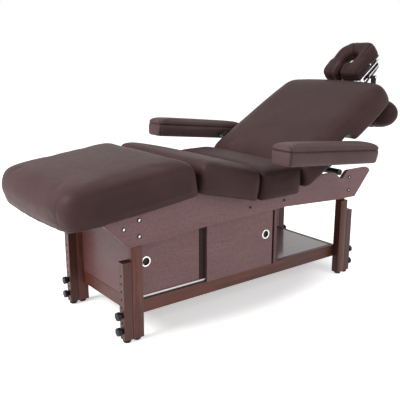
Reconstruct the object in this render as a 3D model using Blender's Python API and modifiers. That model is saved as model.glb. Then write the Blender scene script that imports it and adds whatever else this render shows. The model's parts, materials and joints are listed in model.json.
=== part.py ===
"""Massage table with a lifting back, sliding-door base cabinet and face cradle.

Metres, +Z up. X runs from the foot end to the head end, Y across the table, and the
doors face -Y. Every piece is modelled first in a base layout whose X is 0 at the outer
face of the foot posts. The whole table is then moved along X so that the origin sits
on the floor under the middle of its bounding box.
"""
import math

import bmesh
import bpy
from mathutils import Matrix, Vector

# Driving dimensions
FRAME_LENGTH = 1.2395        # outer face of the foot posts to outer face of the head posts
FRAME_WIDTH = 0.506          # across the outer faces of the legs
HOLE_PITCH = 0.032           # spacing of the leg adjustment holes
HOLE_COUNT = 8
LEG_WIDTH = 0.038            # post and extension, across the table
POST_DEPTH = 0.0485
EXT_DEPTH = 0.038
SEAT_BASE_Z = 0.487          # underside of the seat pad
TOP_WIDTH = 0.664
PAD_THICKNESS = 0.130
BACK_THICKNESS = 0.112
BACK_WIDTH = TOP_WIDTH + 0.020
BACK_LENGTH = 0.670
BACK_ANGLE = math.radians(31.0)
ARMREST_WIDTH = 0.112
ARMREST_LENGTH = 0.557
ARMREST_HEIGHT = 0.088
ARMREST_TILT = math.radians(4.6)
FAR_ARMREST_TILT = math.radians(6.2)
BOLSTER_RADIUS = 0.073
BOLSTER_LENGTH = 0.560
BOLSTER_ROUND = 0.105        # rounded end of the bolster
PILLOW_RADIUS = 0.116
PANEL_THICKNESS = 0.020
BOARD_THICKNESS = 0.018
DOOR_THICKNESS = 0.014

# Clearances
GAP = 0.0003                 # between pieces that touch
RUN = 0.001                  # between pieces that slide or turn

# Legs
OUTER_Y = FRAME_WIDTH / 2
INNER_Y = OUTER_Y - LEG_WIDTH
PANEL_IN_Y = OUTER_Y - PANEL_THICKNESS
FOOT_HEIGHT = 0.012
HOLE_RADIUS = 0.0045
HOLE_DEPTH = EXT_DEPTH * 0.7
LOW_HOLE_Z = 0.051
EXT_TOP_Z = LOW_HOLE_Z + (HOLE_COUNT - 1) * HOLE_PITCH + 0.055
KNOB_HOLES = (2, 0)          # counted up from the lowest hole
KNOB_RADIUS = 0.0165

# Side panels and what they carry
PANEL_LOW_Z = SEAT_BASE_Z - 0.103
TAIL_TOP_Z = SEAT_BASE_Z + 0.046
KNEE_Z = SEAT_BASE_Z + 0.076
FOOT_POST_TOP = PANEL_LOW_Z + 0.110
HEAD_POST_TOP = PANEL_LOW_Z + 0.080
LEG_SLOPE = math.radians(6.9)
KNEE_SLOPE = math.radians(13.7)
KNEE_X = 0.2677              # ridge between the leg and knee pads
LEG_OVERHANG = 0.2936        # leg pad past the foot posts
SEAT_LENGTH = 0.2336
SEAT_FRONT_X = KNEE_X + (KNEE_Z - SEAT_BASE_Z) / math.tan(KNEE_SLOPE)
SEAT_REAR_X = SEAT_FRONT_X + SEAT_LENGTH
PANEL_OVERHANG = 0.141       # side panel past the foot posts
TAIL_X = FRAME_LENGTH + 0.1574

# Lower frame
RAIL_LOW_Z = 0.090
RAIL_TOP_Z = 0.147
RAIL_THICKNESS = 0.022
END_RAIL_SET = 0.027

# Cabinet
CABINET_LENGTH = 0.7125
DIVIDER_X = POST_DEPTH + CABINET_LENGTH
DOOR_FRONT_Y = PANEL_IN_Y - 0.003
DOOR_REAR_Y = DOOR_FRONT_Y - DOOR_THICKNESS - 0.005
DOOR_LOW_Z = RAIL_TOP_Z + 0.012      # rear door, on its track
FRONT_DOOR_LOW_Z = RAIL_TOP_Z + 0.003
DOOR_TOP_Z = PANEL_LOW_Z + 0.046
DOOR_OVERLAP = 0.019
TRACK_RUN = 0.0006           # front door clear of the track's rib
TRACK_LIP = 0.008            # track lip over its foot
PULL_RADIUS = 0.022
PULL_BODY = 0.0185
PULL_INSET = 0.042
PULL_Z = 0.300

# Back section, laid out in its own frame: s along it, n out of its face
HINGE_SET = 0.085            # hinge axis behind the seat pad
HINGE_X = SEAT_REAR_X + HINGE_SET
PAD_N = 0.012                # underside of the pad above the hinge axis
BACK_DROP = 0.047            # back pad below the hinge axis
BACK_LEAN = 0.040            # slope of the pad's lower end, away from the seat
POCKET_S = 0.256             # hand pockets in the pad's long sides
POCKET_RADIUS = 0.064
POCKET_DEPTH = 0.115
HINGE_Z = TAIL_TOP_Z + 0.001 - PAD_N
ROD_RADIUS = 0.006
BACK_BOARD = 0.015
BOARD_LOW_N = PAD_N - GAP - BACK_BOARD
BOARD_HALF = PANEL_IN_Y - 0.013
BOARD_END_S = 0.3953
PROP_S = 0.203
PROP_N = BOARD_LOW_N - 0.019
PROP_BAR_RADIUS = 0.015
NOTCH_SET = 0.295            # prop bar behind the hinge axis
NOTCH_X = HINGE_X + NOTCH_SET
REST_X = NOTCH_X - 0.0105    # middle of the panels' rests for the bar
NOTCH_Z = TAIL_TOP_Z - 0.009
ARM_IN_Y = TOP_WIDTH / 2 + 0.060
ARM_PIVOT_S = 0.1132
ARM_PIVOT_RISE = 0.0238      # pivot above the armrest's underside
ARM_TAIL = 0.165             # armrest behind its pivot
ARM_FAR_RISE = 0.012         # far pivot above the near one
ARM_STUD = 0.040             # bracket's stud in the back pad's side
ARM_PIVOT_N = PAD_N + BACK_THICKNESS * 0.60

# Head end
TUBE_RADIUS = 0.007
TUBE_N = BOARD_LOW_N + BACK_BOARD / 2
TUBE_Y = 0.086
CROSS_OUT = 0.104            # cradle axle past the back
CROSS_S = BACK_LENGTH + CROSS_OUT
CROSS_N = PAD_N + BACK_THICKNESS * 0.360
CROSS_Y = 0.150
CRADLE_TILT = math.radians(9.5)
STRAP_Y = CROSS_Y - 0.002
STRAP_THICK = 0.003
STRAP_WIDTH = 0.030
STRAP_DROP = 0.180
PILLOW_THICK = 0.062
PILLOW_ARM = 0.130
PILLOW_HOLE = 0.040
PILLOW_SET = 0.048
PILLOW_SQUARE = 0.20         # fullness of the plan corners
PILLOW_PINCH = 0.75          # closing of the hole between the arm ends
CRADLE_BEHIND = 0.050
CRADLE_AHEAD = 0.125

for old in list(bpy.data.objects):
    bpy.data.objects.remove(old, do_unlink=True)

SCENE = bpy.context.scene
PARTS = bpy.data.collections.new("massage_table")
TOOLS = bpy.data.collections.new("cutters")
SCENE.collection.children.link(PARTS)
SCENE.collection.children.link(TOOLS)


def finish(name, colour, roughness, metallic=0.0):
    """Make one plain material."""
    mat = bpy.data.materials.new(name)
    mat.use_nodes = True
    shader = mat.node_tree.nodes["Principled BSDF"]
    shader.inputs["Base Color"].default_value = (*colour, 1.0)
    shader.inputs["Roughness"].default_value = roughness
    shader.inputs["Metallic"].default_value = metallic
    return mat


WOOD = ("wood", (0.085, 0.026, 0.017), 0.42, 0.0)
VINYL = ("vinyl", (0.055, 0.028, 0.029), 0.48, 0.0)
CHROME = ("chrome", (0.80, 0.80, 0.82), 0.12, 1.0)
STEEL = ("steel", (0.12, 0.12, 0.13), 0.38, 0.9)
BLACK = ("plastic", (0.015, 0.015, 0.016), 0.45, 0.0)
RUBBER = ("rubber", (0.010, 0.010, 0.010), 0.85, 0.0)
WHITE = ("track", (0.72, 0.71, 0.69), 0.40, 0.0)
WEB = ("webbing", (0.012, 0.012, 0.013), 0.90, 0.0)


def add(name, mesh, look, pivot=None):
    """Link a mesh made in layout coordinates as one named part with its own material."""
    mesh.name = name
    obj = bpy.data.objects.new(name, mesh)
    PARTS.objects.link(obj)
    mesh.materials.clear()
    mesh.materials.append(finish(name + "_" + look[0], look[1], look[2], look[3]))
    if pivot is not None:
        mesh.transform(Matrix.Translation(-Vector(pivot)))
        obj.location = pivot
    return obj


def from_bmesh(bm):
    """Turn an edit mesh into mesh data with its faces pointing out."""
    bmesh.ops.recalc_face_normals(bm, faces=bm.faces[:])
    mesh = bpy.data.meshes.new("work")
    bm.to_mesh(mesh)
    bm.free()
    return mesh


def evaluated(mesh, build):
    """Run modifiers, added by build, over a mesh and return the result."""
    obj = bpy.data.objects.new("work", mesh)
    TOOLS.objects.link(obj)
    build(obj)
    graph = bpy.context.evaluated_depsgraph_get()
    out = bpy.data.meshes.new_from_object(obj.evaluated_get(graph))
    bpy.data.objects.remove(obj, do_unlink=True)
    return out


def weld(mesh):
    """Merge doubled points and make the faces point out."""
    bm = bmesh.new()
    bm.from_mesh(mesh)
    bmesh.ops.remove_doubles(bm, verts=bm.verts[:], dist=0.00002)
    return from_bmesh(bm)


def block(x, y, z, edge=0.0):
    """A box between the given (low, high) pairs, with its edges eased by edge."""
    bm = bmesh.new()
    bmesh.ops.create_cube(bm, size=1.0)
    size = Vector((x[1] - x[0], y[1] - y[0], z[1] - z[0]))
    centre = Vector((x[1] + x[0], y[1] + y[0], z[1] + z[0])) / 2
    bmesh.ops.scale(bm, vec=size, verts=bm.verts[:])
    bmesh.ops.translate(bm, vec=centre, verts=bm.verts[:])
    if edge > 0.0:
        bmesh.ops.bevel(bm, geom=bm.edges[:], offset=edge, segments=1, affect="EDGES")
    return from_bmesh(bm)


def cylinder(radius, start, end, sides=16, spin=0.0):
    """A round bar from one point to another, turned about its own axis by spin."""
    start = Vector(start)
    end = Vector(end)
    bm = bmesh.new()
    bmesh.ops.create_cone(bm, cap_ends=True, segments=sides, radius1=radius,
                          radius2=radius, depth=(end - start).length)
    turn = (end - start).to_track_quat("Z", "Y").to_matrix().to_4x4() @ Matrix.Rotation(spin, 4, "Z")
    move = Matrix.Translation((start + end) / 2) @ turn
    bmesh.ops.transform(bm, matrix=move, verts=bm.verts[:])
    return from_bmesh(bm)


def plate(outline, y, edge=0.0):
    """Extrude an X-Z outline between two Y values; edge eases its rims."""
    curve = bpy.data.curves.new("outline", "CURVE")
    curve.dimensions = "2D"
    curve.fill_mode = "BOTH"
    curve.extrude = (y[1] - y[0]) / 2 - edge
    curve.bevel_depth = edge
    curve.bevel_resolution = 0
    curve.offset = -edge
    spline = curve.splines.new("POLY")
    spline.points.add(len(outline) - 1)
    for point, (x, z) in zip(spline.points, outline):
        point.co = (x, z, 0.0, 1.0)
    spline.use_cyclic_u = True
    obj = bpy.data.objects.new("outline", curve)
    TOOLS.objects.link(obj)
    graph = bpy.context.evaluated_depsgraph_get()
    mesh = bpy.data.meshes.new_from_object(obj.evaluated_get(graph))
    bpy.data.objects.remove(obj, do_unlink=True)
    stand = Matrix.Translation((0, (y[0] + y[1]) / 2, 0)) @ Matrix.Rotation(math.pi / 2, 4, "X")
    mesh.transform(stand)
    return weld(mesh)


def bent_tube(points, radius, bend, sides=3):
    """A round tube along straight runs joined by rounded bends of the given radius."""
    path = [Vector(points[0])]
    for before, here, after in zip(points, points[1:], points[2:]):
        here = Vector(here)
        back = (Vector(before) - here).normalized()
        ahead = (Vector(after) - here).normalized()
        for step in range(4):
            t = step / 3
            path.append(here + back * bend * (1 - t) ** 2 + ahead * bend * t ** 2)
    path.append(Vector(points[-1]))
    curve = bpy.data.curves.new("tube", "CURVE")
    curve.dimensions = "3D"
    curve.bevel_depth = radius
    curve.bevel_resolution = sides
    curve.use_fill_caps = True
    spline = curve.splines.new("POLY")
    spline.points.add(len(path) - 1)
    for point, place in zip(spline.points, path):
        point.co = (*place, 1.0)
    obj = bpy.data.objects.new("tube", curve)
    TOOLS.objects.link(obj)
    graph = bpy.context.evaluated_depsgraph_get()
    mesh = bpy.data.meshes.new_from_object(obj.evaluated_get(graph))
    bpy.data.objects.remove(obj, do_unlink=True)
    return weld(mesh)


def lathe(profile, place, steps=16):
    """Turn a (radius, height) profile about Z with the Screw modifier, then place it."""
    mesh = bpy.data.meshes.new("profile")
    bm = bmesh.new()
    points = [bm.verts.new((r, 0.0, h)) for r, h in profile]
    for first, second in zip(points, points[1:]):
        bm.edges.new((first, second))
    bm.to_mesh(mesh)
    bm.free()

    def screw(obj):
        mod = obj.modifiers.new("turn", "SCREW")
        mod.axis = "Z"
        mod.steps = steps
        mod.render_steps = steps
        mod.use_merge_vertices = True
        mod.merge_threshold = 0.00002
    out = evaluated(mesh, screw)
    out.transform(place)
    return weld(out)


def combine(mesh, others, operation):
    """Boolean a mesh with others, kept in the cutters collection while it runs."""
    tools = []
    for other in others:
        tool = bpy.data.objects.new("cutter", other)
        tool.hide_render = True
        tool.display_type = "WIRE"
        TOOLS.objects.link(tool)
        tools.append(tool)

    def cut(obj):
        for tool in tools:
            mod = obj.modifiers.new("cut", "BOOLEAN")
            mod.solver = "EXACT"
            mod.operation = operation
            mod.object = tool
    out = weld(evaluated(mesh, cut))
    for tool in tools:
        bpy.data.objects.remove(tool, do_unlink=True)
    return out


def cushion(length, width, thick, crown, edge, levels=2, lean=(0.0, 0.0), pull=(0.0, 0.0),
            draw=(0.010, 0.0), nose=(0.0, 0.0)):
    """A soft slab from a subdivided cage: X from 0 to length, Z from 0 to thick at its rim.

    The top rises by crown in the middle, lean moves the top of the (foot, head) ends along X,
    pull rounds the plan corners of each end, and draw and nose bring the long sides and the
    foot end in at their (bottom, top) rims.
    """
    bm = bmesh.new()
    bmesh.ops.create_cube(bm, size=1.0)
    bmesh.ops.translate(bm, vec=(0.5, 0.0, 0.5), verts=bm.verts[:])
    ends = [max(edge, 1.6 * corner) / length for corner in pull]
    for x in (ends[0], 1 - ends[1]):
        cut_cage(bm, (x, 0, 0), (1, 0, 0))
    for y in (-0.5 + edge / width, 0.5 - edge / width):
        cut_cage(bm, (0, y, 0), (0, 1, 0))
    cut_cage(bm, (0, 0, 0.52), (0, 0, 1))
    crease = bm.edges.layers.float.new("crease_edge")
    for line in bm.edges:
        if all(abs(v.co.z) < 1e-6 for v in line.verts) and len(line.link_faces) == 2:
            if any(f.calc_center_median().z > 1e-6 for f in line.link_faces):
                line[crease] = 0.75
    for v in bm.verts:
        inside = 1e-6 < v.co.x < 1 - 1e-6 and abs(v.co.y) < 0.5 - 1e-6
        corner = abs(v.co.y) > 0.5 - 1e-6 and not 1e-6 < v.co.x < 1 - 1e-6
        high = v.co.z
        x = v.co.x * length
        y = v.co.y * width
        head = v.co.x > 0.5
        x += lean[head] * high
        if corner:
            x += -pull[1] if head else pull[0]
            y -= math.copysign(pull[head], y)
        if high < 1e-6:
            y *= 1 - draw[0] / width * 2
        if high > 0.9 and abs(y) > width * 0.4:
            y -= math.copysign(draw[1], y)
        if high > 0.9 and v.co.x > 1 - 1e-6:
            x -= draw[1] * (1.8 if corner else 1.0)
        if v.co.x < 1e-6 and not 1e-6 < high < 0.9:
            x += nose[high > 0.9]
        v.co = Vector((x, y, high * thick + (crown if inside and high > 0.9 else 0.0)))
    mesh = from_bmesh(bm)

    def soften(obj):
        mod = obj.modifiers.new("soft", "SUBSURF")
        mod.levels = levels
        mod.render_levels = levels
    out = evaluated(mesh, soften)
    lows = [min(v.co[i] for v in out.vertices) for i in range(3)]
    highs = [max(v.co[i] for v in out.vertices) for i in range(3)]
    want = (length + max(lean[1], 0.0) - min(lean[0], 0.0), width, thick + crown)
    begin = (min(lean[0], 0.0), -width / 2, 0.0)
    for v in out.vertices:
        for i in range(3):
            v.co[i] = begin[i] + (v.co[i] - lows[i]) / (highs[i] - lows[i]) * want[i]
    return out


def cut_cage(bm, point, normal):
    """Add one loop of edges where a plane crosses the cage."""
    bmesh.ops.bisect_plane(bm, geom=bm.verts[:] + bm.edges[:] + bm.faces[:],
                           plane_co=point, plane_no=normal)


def on_back(s, y, n):
    """Layout position of a point given in the back's own frame, at the rest angle."""
    return BACK_FRAME @ Vector((s, y, n))


BACK_FRAME = Matrix.Translation((HINGE_X, 0, HINGE_Z)) @ Matrix.Rotation(-BACK_ANGLE, 4, "Y")


def build_legs():
    """Posts, height extensions with their holes, feet and clamp knobs."""
    for end, x0, out in (("foot", 0.0, -1), ("head", FRAME_LENGTH, 1)):
        for side, sign in (("near", -1), ("far", 1)):
            label = end + "_" + side
            y = sorted((sign * INNER_Y, sign * OUTER_Y))
            mid = sign * (OUTER_Y - LEG_WIDTH / 2)
            top = FOOT_POST_TOP if end == "foot" else HEAD_POST_TOP
            x = sorted((x0, x0 - out * POST_DEPTH))
            post = block(x, y, (0.0, top), 0.0015)
            # the panel laps over the post, so the outer face is cut back above its lower edge
            lap = sorted((sign * (PANEL_IN_Y - GAP), sign * (OUTER_Y + 0.01)))
            wide = (x[0] - 0.01, x[1] + 0.01)
            post = combine(post, [block(wide, lap, (PANEL_LOW_Z - GAP, top + 0.01))], "DIFFERENCE")
            add("leg_post_" + label, post, WOOD)

            face = x0 + out * (GAP + EXT_DEPTH)
            x = sorted((x0 + out * GAP, face))
            body = block(x, y, (FOOT_HEIGHT + GAP, EXT_TOP_Z), 0.0015)
            holes = []
            for index in range(HOLE_COUNT):
                z = LOW_HOLE_Z + index * HOLE_PITCH
                tip = (face - out * HOLE_DEPTH, mid, z)
                holes.append(cylinder(HOLE_RADIUS, tip, (face + out * 0.01, mid, z), 10, 0.2))
            body = combine(body, holes, "DIFFERENCE")
            rest = (x0, mid, 0.0)
            add("leg_extension_" + label, body, WOOD, rest)
            inset = 0.001
            shoe = block((x[0] + inset, x[1] - inset), (y[0] + inset, y[1] - inset),
                         (0.0, FOOT_HEIGHT), 0.002)
            add("leg_foot_" + label, shoe, RUBBER, rest)
            for order, index in enumerate(KNOB_HOLES):
                z = LOW_HOLE_Z + index * HOLE_PITCH
                build_knob("leg_knob_" + label + "_" + ("upper", "lower")[order], (face, mid, z), out)


def build_knob(name, seat, out):
    """A fluted hand knob with its stud in the hole and its collar on the face."""
    stud = HOLE_RADIUS - 0.0006
    profile = ((0.0, -HOLE_DEPTH * 0.85), (stud, -HOLE_DEPTH * 0.85), (stud, GAP), (0.008, GAP),
               (0.008, 0.008), (KNOB_RADIUS, 0.010), (KNOB_RADIUS, 0.021), (0.011, 0.024), (0.0, 0.024))
    turn = Matrix.Rotation(out * math.pi / 2, 4, "Y")
    mesh = lathe(profile, Matrix.Identity(4), 16)
    for v in mesh.vertices:
        radius = math.hypot(v.co.x, v.co.y)
        if radius > KNOB_RADIUS * 0.95:
            turn_count = round(math.atan2(v.co.y, v.co.x) / (math.pi / 8))
            if turn_count % 2:
                v.co.x *= 0.88
                v.co.y *= 0.88
    mesh.transform(Matrix.Translation(seat) @ turn)
    add(name, mesh, BLACK, seat)


def panel_outline():
    """Side panel profile: top edge carries the pads, then the hinge lug and prop notches."""
    slant = 0.132
    foot_top = KNEE_Z - GAP - math.tan(LEG_SLOPE) * (KNEE_X + PANEL_OVERHANG)
    valley = SEAT_BASE_Z - GAP
    notch = NOTCH_Z - PROP_BAR_RADIUS * 1.70
    return [
        (slant - PANEL_OVERHANG, PANEL_LOW_Z), (-PANEL_OVERHANG, foot_top), (KNEE_X, KNEE_Z - GAP),
        (SEAT_FRONT_X, valley), (SEAT_REAR_X + 0.010, valley),
        (HINGE_X - 0.049, valley + 0.012), (HINGE_X - 0.007, HINGE_Z + 0.0075),
        (HINGE_X + 0.004, HINGE_Z + 0.0092), (REST_X - 0.1055, TAIL_TOP_Z), (REST_X - 0.0559, TAIL_TOP_Z),
        (REST_X - 0.0417, TAIL_TOP_Z - 0.006), (REST_X - 0.008, notch + 0.002),
        (REST_X + 0.006, notch), (REST_X + 0.036, TAIL_TOP_Z - 0.004), (REST_X + 0.048, TAIL_TOP_Z),
        (TAIL_X - 0.026, TAIL_TOP_Z), (TAIL_X - 0.010, TAIL_TOP_Z - 0.006), (TAIL_X, TAIL_TOP_Z - 0.020),
        (TAIL_X - 0.1066, PANEL_LOW_Z + 0.010), (FRAME_LENGTH - 0.1041, PANEL_LOW_Z + 0.013),
        (DIVIDER_X + 0.0447, PANEL_LOW_Z + 0.032), (DIVIDER_X - 0.0669, PANEL_LOW_Z + 0.028),
        (KNEE_X + 0.0434, PANEL_LOW_Z + 0.018), (KNEE_X - 0.0867, PANEL_LOW_Z + 0.003),
    ]


def build_frame():
    """Side panels, stretchers, rails and shelf."""
    for side, sign in (("near", -1), ("far", 1)):
        y = sorted((sign * PANEL_IN_Y, sign * OUTER_Y))
        add("side_panel_" + side, plate(panel_outline(), y, 0.0012), WOOD)
        rail = sorted((sign * (INNER_Y - GAP), sign * (INNER_Y - GAP - RAIL_THICKNESS)))
        run = (END_RAIL_SET + RAIL_THICKNESS + GAP, FRAME_LENGTH - END_RAIL_SET - RAIL_THICKNESS - GAP)
        add("long_rail_" + side, block(run, rail, (RAIL_LOW_Z, RAIL_TOP_Z), 0.0012), WOOD)
    span = (-(INNER_Y - GAP), INNER_Y - GAP)
    for end, x in (("foot", END_RAIL_SET), ("head", FRAME_LENGTH - END_RAIL_SET - RAIL_THICKNESS)):
        rail = block((x, x + RAIL_THICKNESS), span, (RAIL_LOW_Z, RAIL_TOP_Z), 0.0012)
        add("end_rail_" + end, rail, WOOD)
    depth = INNER_Y - RAIL_THICKNESS - 2 * GAP
    x = (END_RAIL_SET + RAIL_THICKNESS + GAP, FRAME_LENGTH - END_RAIL_SET - RAIL_THICKNESS - GAP)
    shelf = block(x, (-depth, depth), (RAIL_TOP_Z - 0.016, RAIL_TOP_Z), 0.0008)
    add("shelf_board", shelf, WOOD)
    wide = (-(PANEL_IN_Y - GAP), PANEL_IN_Y - GAP)
    low = PANEL_LOW_Z + 0.052
    for name, x in (("foot_stretcher", -0.042), ("seat_stretcher", DIVIDER_X + BOARD_THICKNESS + 0.0033)):
        beam = block((x, x + 0.022), wide, (low, low + 0.050), 0.0012)
        add(name, beam, WOOD)


def build_cabinet():
    """End, divider and far panels, tracks, and two doors with ring pulls."""
    low = RAIL_TOP_Z + GAP
    foot_in = END_RAIL_SET + BOARD_THICKNESS
    add("cabinet_foot_panel", block((END_RAIL_SET, foot_in), (-(INNER_Y - GAP), INNER_Y - GAP),
                                    (low, FOOT_POST_TOP), 0.0008), WOOD)
    back = (DOOR_REAR_Y - DOOR_THICKNESS, DOOR_REAR_Y)
    add("cabinet_divider", block((DIVIDER_X, DIVIDER_X + BOARD_THICKNESS), (-DOOR_FRONT_Y, DOOR_FRONT_Y),
                                 (low, DOOR_TOP_Z + 0.008), 0.0008), WOOD)
    add("cabinet_far_panel", block((foot_in + GAP, DIVIDER_X - GAP), back,
                                   (low, DOOR_TOP_Z + 0.008), 0.0008), WOOD)
    # the rear door stands on the bottom track; the front door hangs before it
    x = (POST_DEPTH + GAP, DIVIDER_X - GAP)
    rib = -(DOOR_FRONT_Y - DOOR_THICKNESS - TRACK_RUN)
    inner = -(INNER_Y - RAIL_THICKNESS)
    foot = block(x, (rib + TRACK_LIP, inner), (low, low + 0.005))
    lip = block(x, (rib, inner), (low + 0.004, DOOR_LOW_Z - GAP))
    blade = block(x, (rib, rib + 0.002), (low + 0.006, DOOR_LOW_Z + 0.004))
    add("door_track_bottom", combine(foot, [lip, blade], "UNION"), WHITE)
    cap = block(x, (-(PANEL_IN_Y - GAP), -(DOOR_REAR_Y - DOOR_THICKNESS)),
                (DOOR_TOP_Z + GAP, DOOR_TOP_Z + 0.008))
    blade = block(x, (rib, rib + 0.002), (DOOR_TOP_Z - 0.010, DOOR_TOP_Z + 0.003))
    add("door_track_top", combine(cap, [blade], "UNION"), WHITE)
    clear = DIVIDER_X - POST_DEPTH
    leaf = clear / 2 + DOOR_OVERLAP
    for name, x, face, pull, bottom in (
            ("left", foot_in + RUN + GAP, -DOOR_REAR_Y, PULL_INSET, DOOR_LOW_Z),
            ("right", DIVIDER_X - 0.010 - leaf, -DOOR_FRONT_Y, leaf - PULL_INSET, FRONT_DOOR_LOW_Z)):
        wide = (x, x + leaf)
        slab = block(wide, (face, face + DOOR_THICKNESS), (bottom, DOOR_TOP_Z), 0.0008)
        hole = (x + pull, face - 0.01, PULL_Z)
        bore = cylinder(PULL_BODY + GAP, hole, (x + pull, face + DOOR_THICKNESS + 0.01, PULL_Z), 24)
        add("door_" + name, combine(slab, [bore], "DIFFERENCE"), WOOD, (x, face, 0.0))
        cup = ((0.0, -0.010), (PULL_BODY, -0.010), (PULL_BODY, GAP), (PULL_RADIUS, GAP),
               (PULL_RADIUS, 0.0012), (PULL_RADIUS - 0.002, 0.0022), (PULL_BODY - 0.002, 0.0016),
               (PULL_BODY - 0.003, -0.008), (0.0, -0.008))
        place = Matrix.Translation((x + pull, face, PULL_Z)) @ Matrix.Rotation(math.pi / 2, 4, "X")
        add("door_pull_" + name, lathe(cup, place, 24), CHROME, (x, face, 0.0))


def build_pads():
    """Leg, knee and seat pads on the panels' top edges."""
    run = (KNEE_X + LEG_OVERHANG) / math.cos(LEG_SLOPE)
    leg = cushion(run - 0.004, TOP_WIDTH, PAD_THICKNESS - 0.005, 0.016, 0.046, 2, (0.0, 0.004),
                  (0.036, 0.0), (0.010, 0.006), (0.030, 0.040))
    place = Matrix.Translation((KNEE_X, 0, KNEE_Z)) @ Matrix.Rotation(-LEG_SLOPE, 4, "Y")
    leg.transform(place @ Matrix.Translation((-run - 0.001, 0, 0)))
    add("leg_pad", leg, VINYL)
    run = (SEAT_FRONT_X - KNEE_X) / math.cos(KNEE_SLOPE)
    wedge = PAD_THICKNESS * math.tan((LEG_SLOPE + KNEE_SLOPE) / 2)
    sink = PAD_THICKNESS * math.tan(KNEE_SLOPE / 2)
    knee = cushion(run - 0.016, TOP_WIDTH, PAD_THICKNESS - 0.005, 0.015, 0.030, 2,
                   (-wedge * 0.55, -sink * 0.80))
    place = Matrix.Translation((KNEE_X, 0, KNEE_Z)) @ Matrix.Rotation(KNEE_SLOPE, 4, "Y")
    knee.transform(place @ Matrix.Translation((0.009, 0, 0)))
    add("knee_pad", knee, VINYL)
    run = SEAT_REAR_X - SEAT_FRONT_X
    seat = cushion(run, TOP_WIDTH, PAD_THICKNESS - 0.004, 0.013, 0.030, 2, (0.0, 0.002))
    seat.transform(Matrix.Translation((SEAT_FRONT_X + 0.010, 0, SEAT_BASE_Z)))
    add("seat_pad", seat, VINYL)


def build_back():
    """Back pad, board, hinge and the prop that swings under it."""
    hinge = on_back(0, 0, 0)
    pad = cushion(BACK_LENGTH + BACK_DROP, BACK_WIDTH, BACK_THICKNESS - 0.012, 0.012, 0.045, 2,
                  (BACK_LEAN, 0.0), (0.004, 0.040), (0.003, 0.014))
    pad.transform(Matrix.Translation((-BACK_DROP, 0, PAD_N)))
    pockets = []
    for sign in (-1, 1):
        ends = sorted((sign * (BACK_WIDTH / 2 - POCKET_DEPTH), sign * (BACK_WIDTH / 2 + 0.020)))
        pockets.append(cylinder(POCKET_RADIUS, (POCKET_S, ends[0], 0.0), (POCKET_S, ends[1], 0.0), 24))
    for sign, high in ((-1, ARM_PIVOT_N), (1, ARM_PIVOT_N + ARM_FAR_RISE)):
        ends = sorted((sign * (BACK_WIDTH / 2 - ARM_STUD - GAP), sign * (BACK_WIDTH / 2 + 0.020)))
        pockets.append(cylinder(0.008 + GAP, (ARM_PIVOT_S, ends[0], high), (ARM_PIVOT_S, ends[1], high), 16))
    pad = combine(pad, pockets, "DIFFERENCE")
    pad.transform(BACK_FRAME)
    add("back_pad", pad, VINYL, hinge)
    board = block((2 * ROD_RADIUS, BOARD_END_S), (-BOARD_HALF, BOARD_HALF), (BOARD_LOW_N, PAD_N - GAP), 0.001)
    board.transform(BACK_FRAME)
    add("back_board", board, WOOD, hinge)
    end = PANEL_IN_Y - GAP
    rod = cylinder(ROD_RADIUS, (HINGE_X, -end, HINGE_Z), (HINGE_X, end, HINGE_Z), 16)
    add("back_hinge_rod", rod, STEEL)
    wide = BOARD_HALF * 0.85
    barrel = cylinder(ROD_RADIUS + 0.005, (0, -wide, 0), (0, wide, 0), 16)
    leaf = block((0.0, 0.060), (-wide, wide), (BOARD_LOW_N - GAP - 0.006, BOARD_LOW_N - GAP))
    bore = cylinder(ROD_RADIUS + GAP, (0, -wide - 0.01, 0), (0, wide + 0.01, 0), 16)
    lug = combine(combine(barrel, [leaf], "UNION"), [bore], "DIFFERENCE")
    lug.transform(BACK_FRAME)
    add("back_hinge_lug", lug, STEEL, hinge)

    pivot = on_back(PROP_S, 0, PROP_N)
    reach = BOARD_HALF * 0.62
    pin = ROD_RADIUS
    rail = block((PROP_S - 0.020, PROP_S + 0.020), (-reach, reach),
                 (BOARD_LOW_N - 0.006 - GAP, BOARD_LOW_N - GAP))
    beam = block((PROP_S - 0.009, PROP_S + 0.009), (-reach, reach), (PROP_N - 0.010, BOARD_LOW_N - 0.003))
    pins = cylinder(pin, (PROP_S, -reach - 0.016, PROP_N), (PROP_S, reach + 0.016, PROP_N), 14)
    rail = combine(rail, [beam, pins], "UNION")
    rail.transform(BACK_FRAME)
    add("prop_pivot_rail", rail, STEEL, hinge)

    bar = Vector((NOTCH_X, 0, NOTCH_Z))
    half = PANEL_IN_Y - RUN
    frame = cylinder(PROP_BAR_RADIUS, bar + Vector((0, -half, 0)), bar + Vector((0, half, 0)), 16)
    pieces = []
    holes = []
    arm = bar - pivot
    length = arm.length
    aim = Matrix.Translation(pivot) @ Matrix.Rotation(-math.atan2(arm.z, arm.x), 4, "Y")
    for sign in (-1, 1):
        y = sorted((sign * (reach + RUN), sign * (reach + 0.013)))
        strip = block((0.0, length), y, (-0.009, 0.009))
        eye = cylinder(0.011, (0, y[0], 0), (0, y[1], 0), 16)
        strip = combine(strip, [eye], "UNION")
        strip.transform(aim)
        pieces.append(strip)
        bore = cylinder(pin + GAP, (0, y[0] - 0.01, 0), (0, y[1] + 0.01, 0), 14)
        bore.transform(aim)
        holes.append(bore)
    frame = combine(combine(frame, pieces, "UNION"), holes, "DIFFERENCE")
    add("prop_frame", frame, STEEL, pivot)


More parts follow.
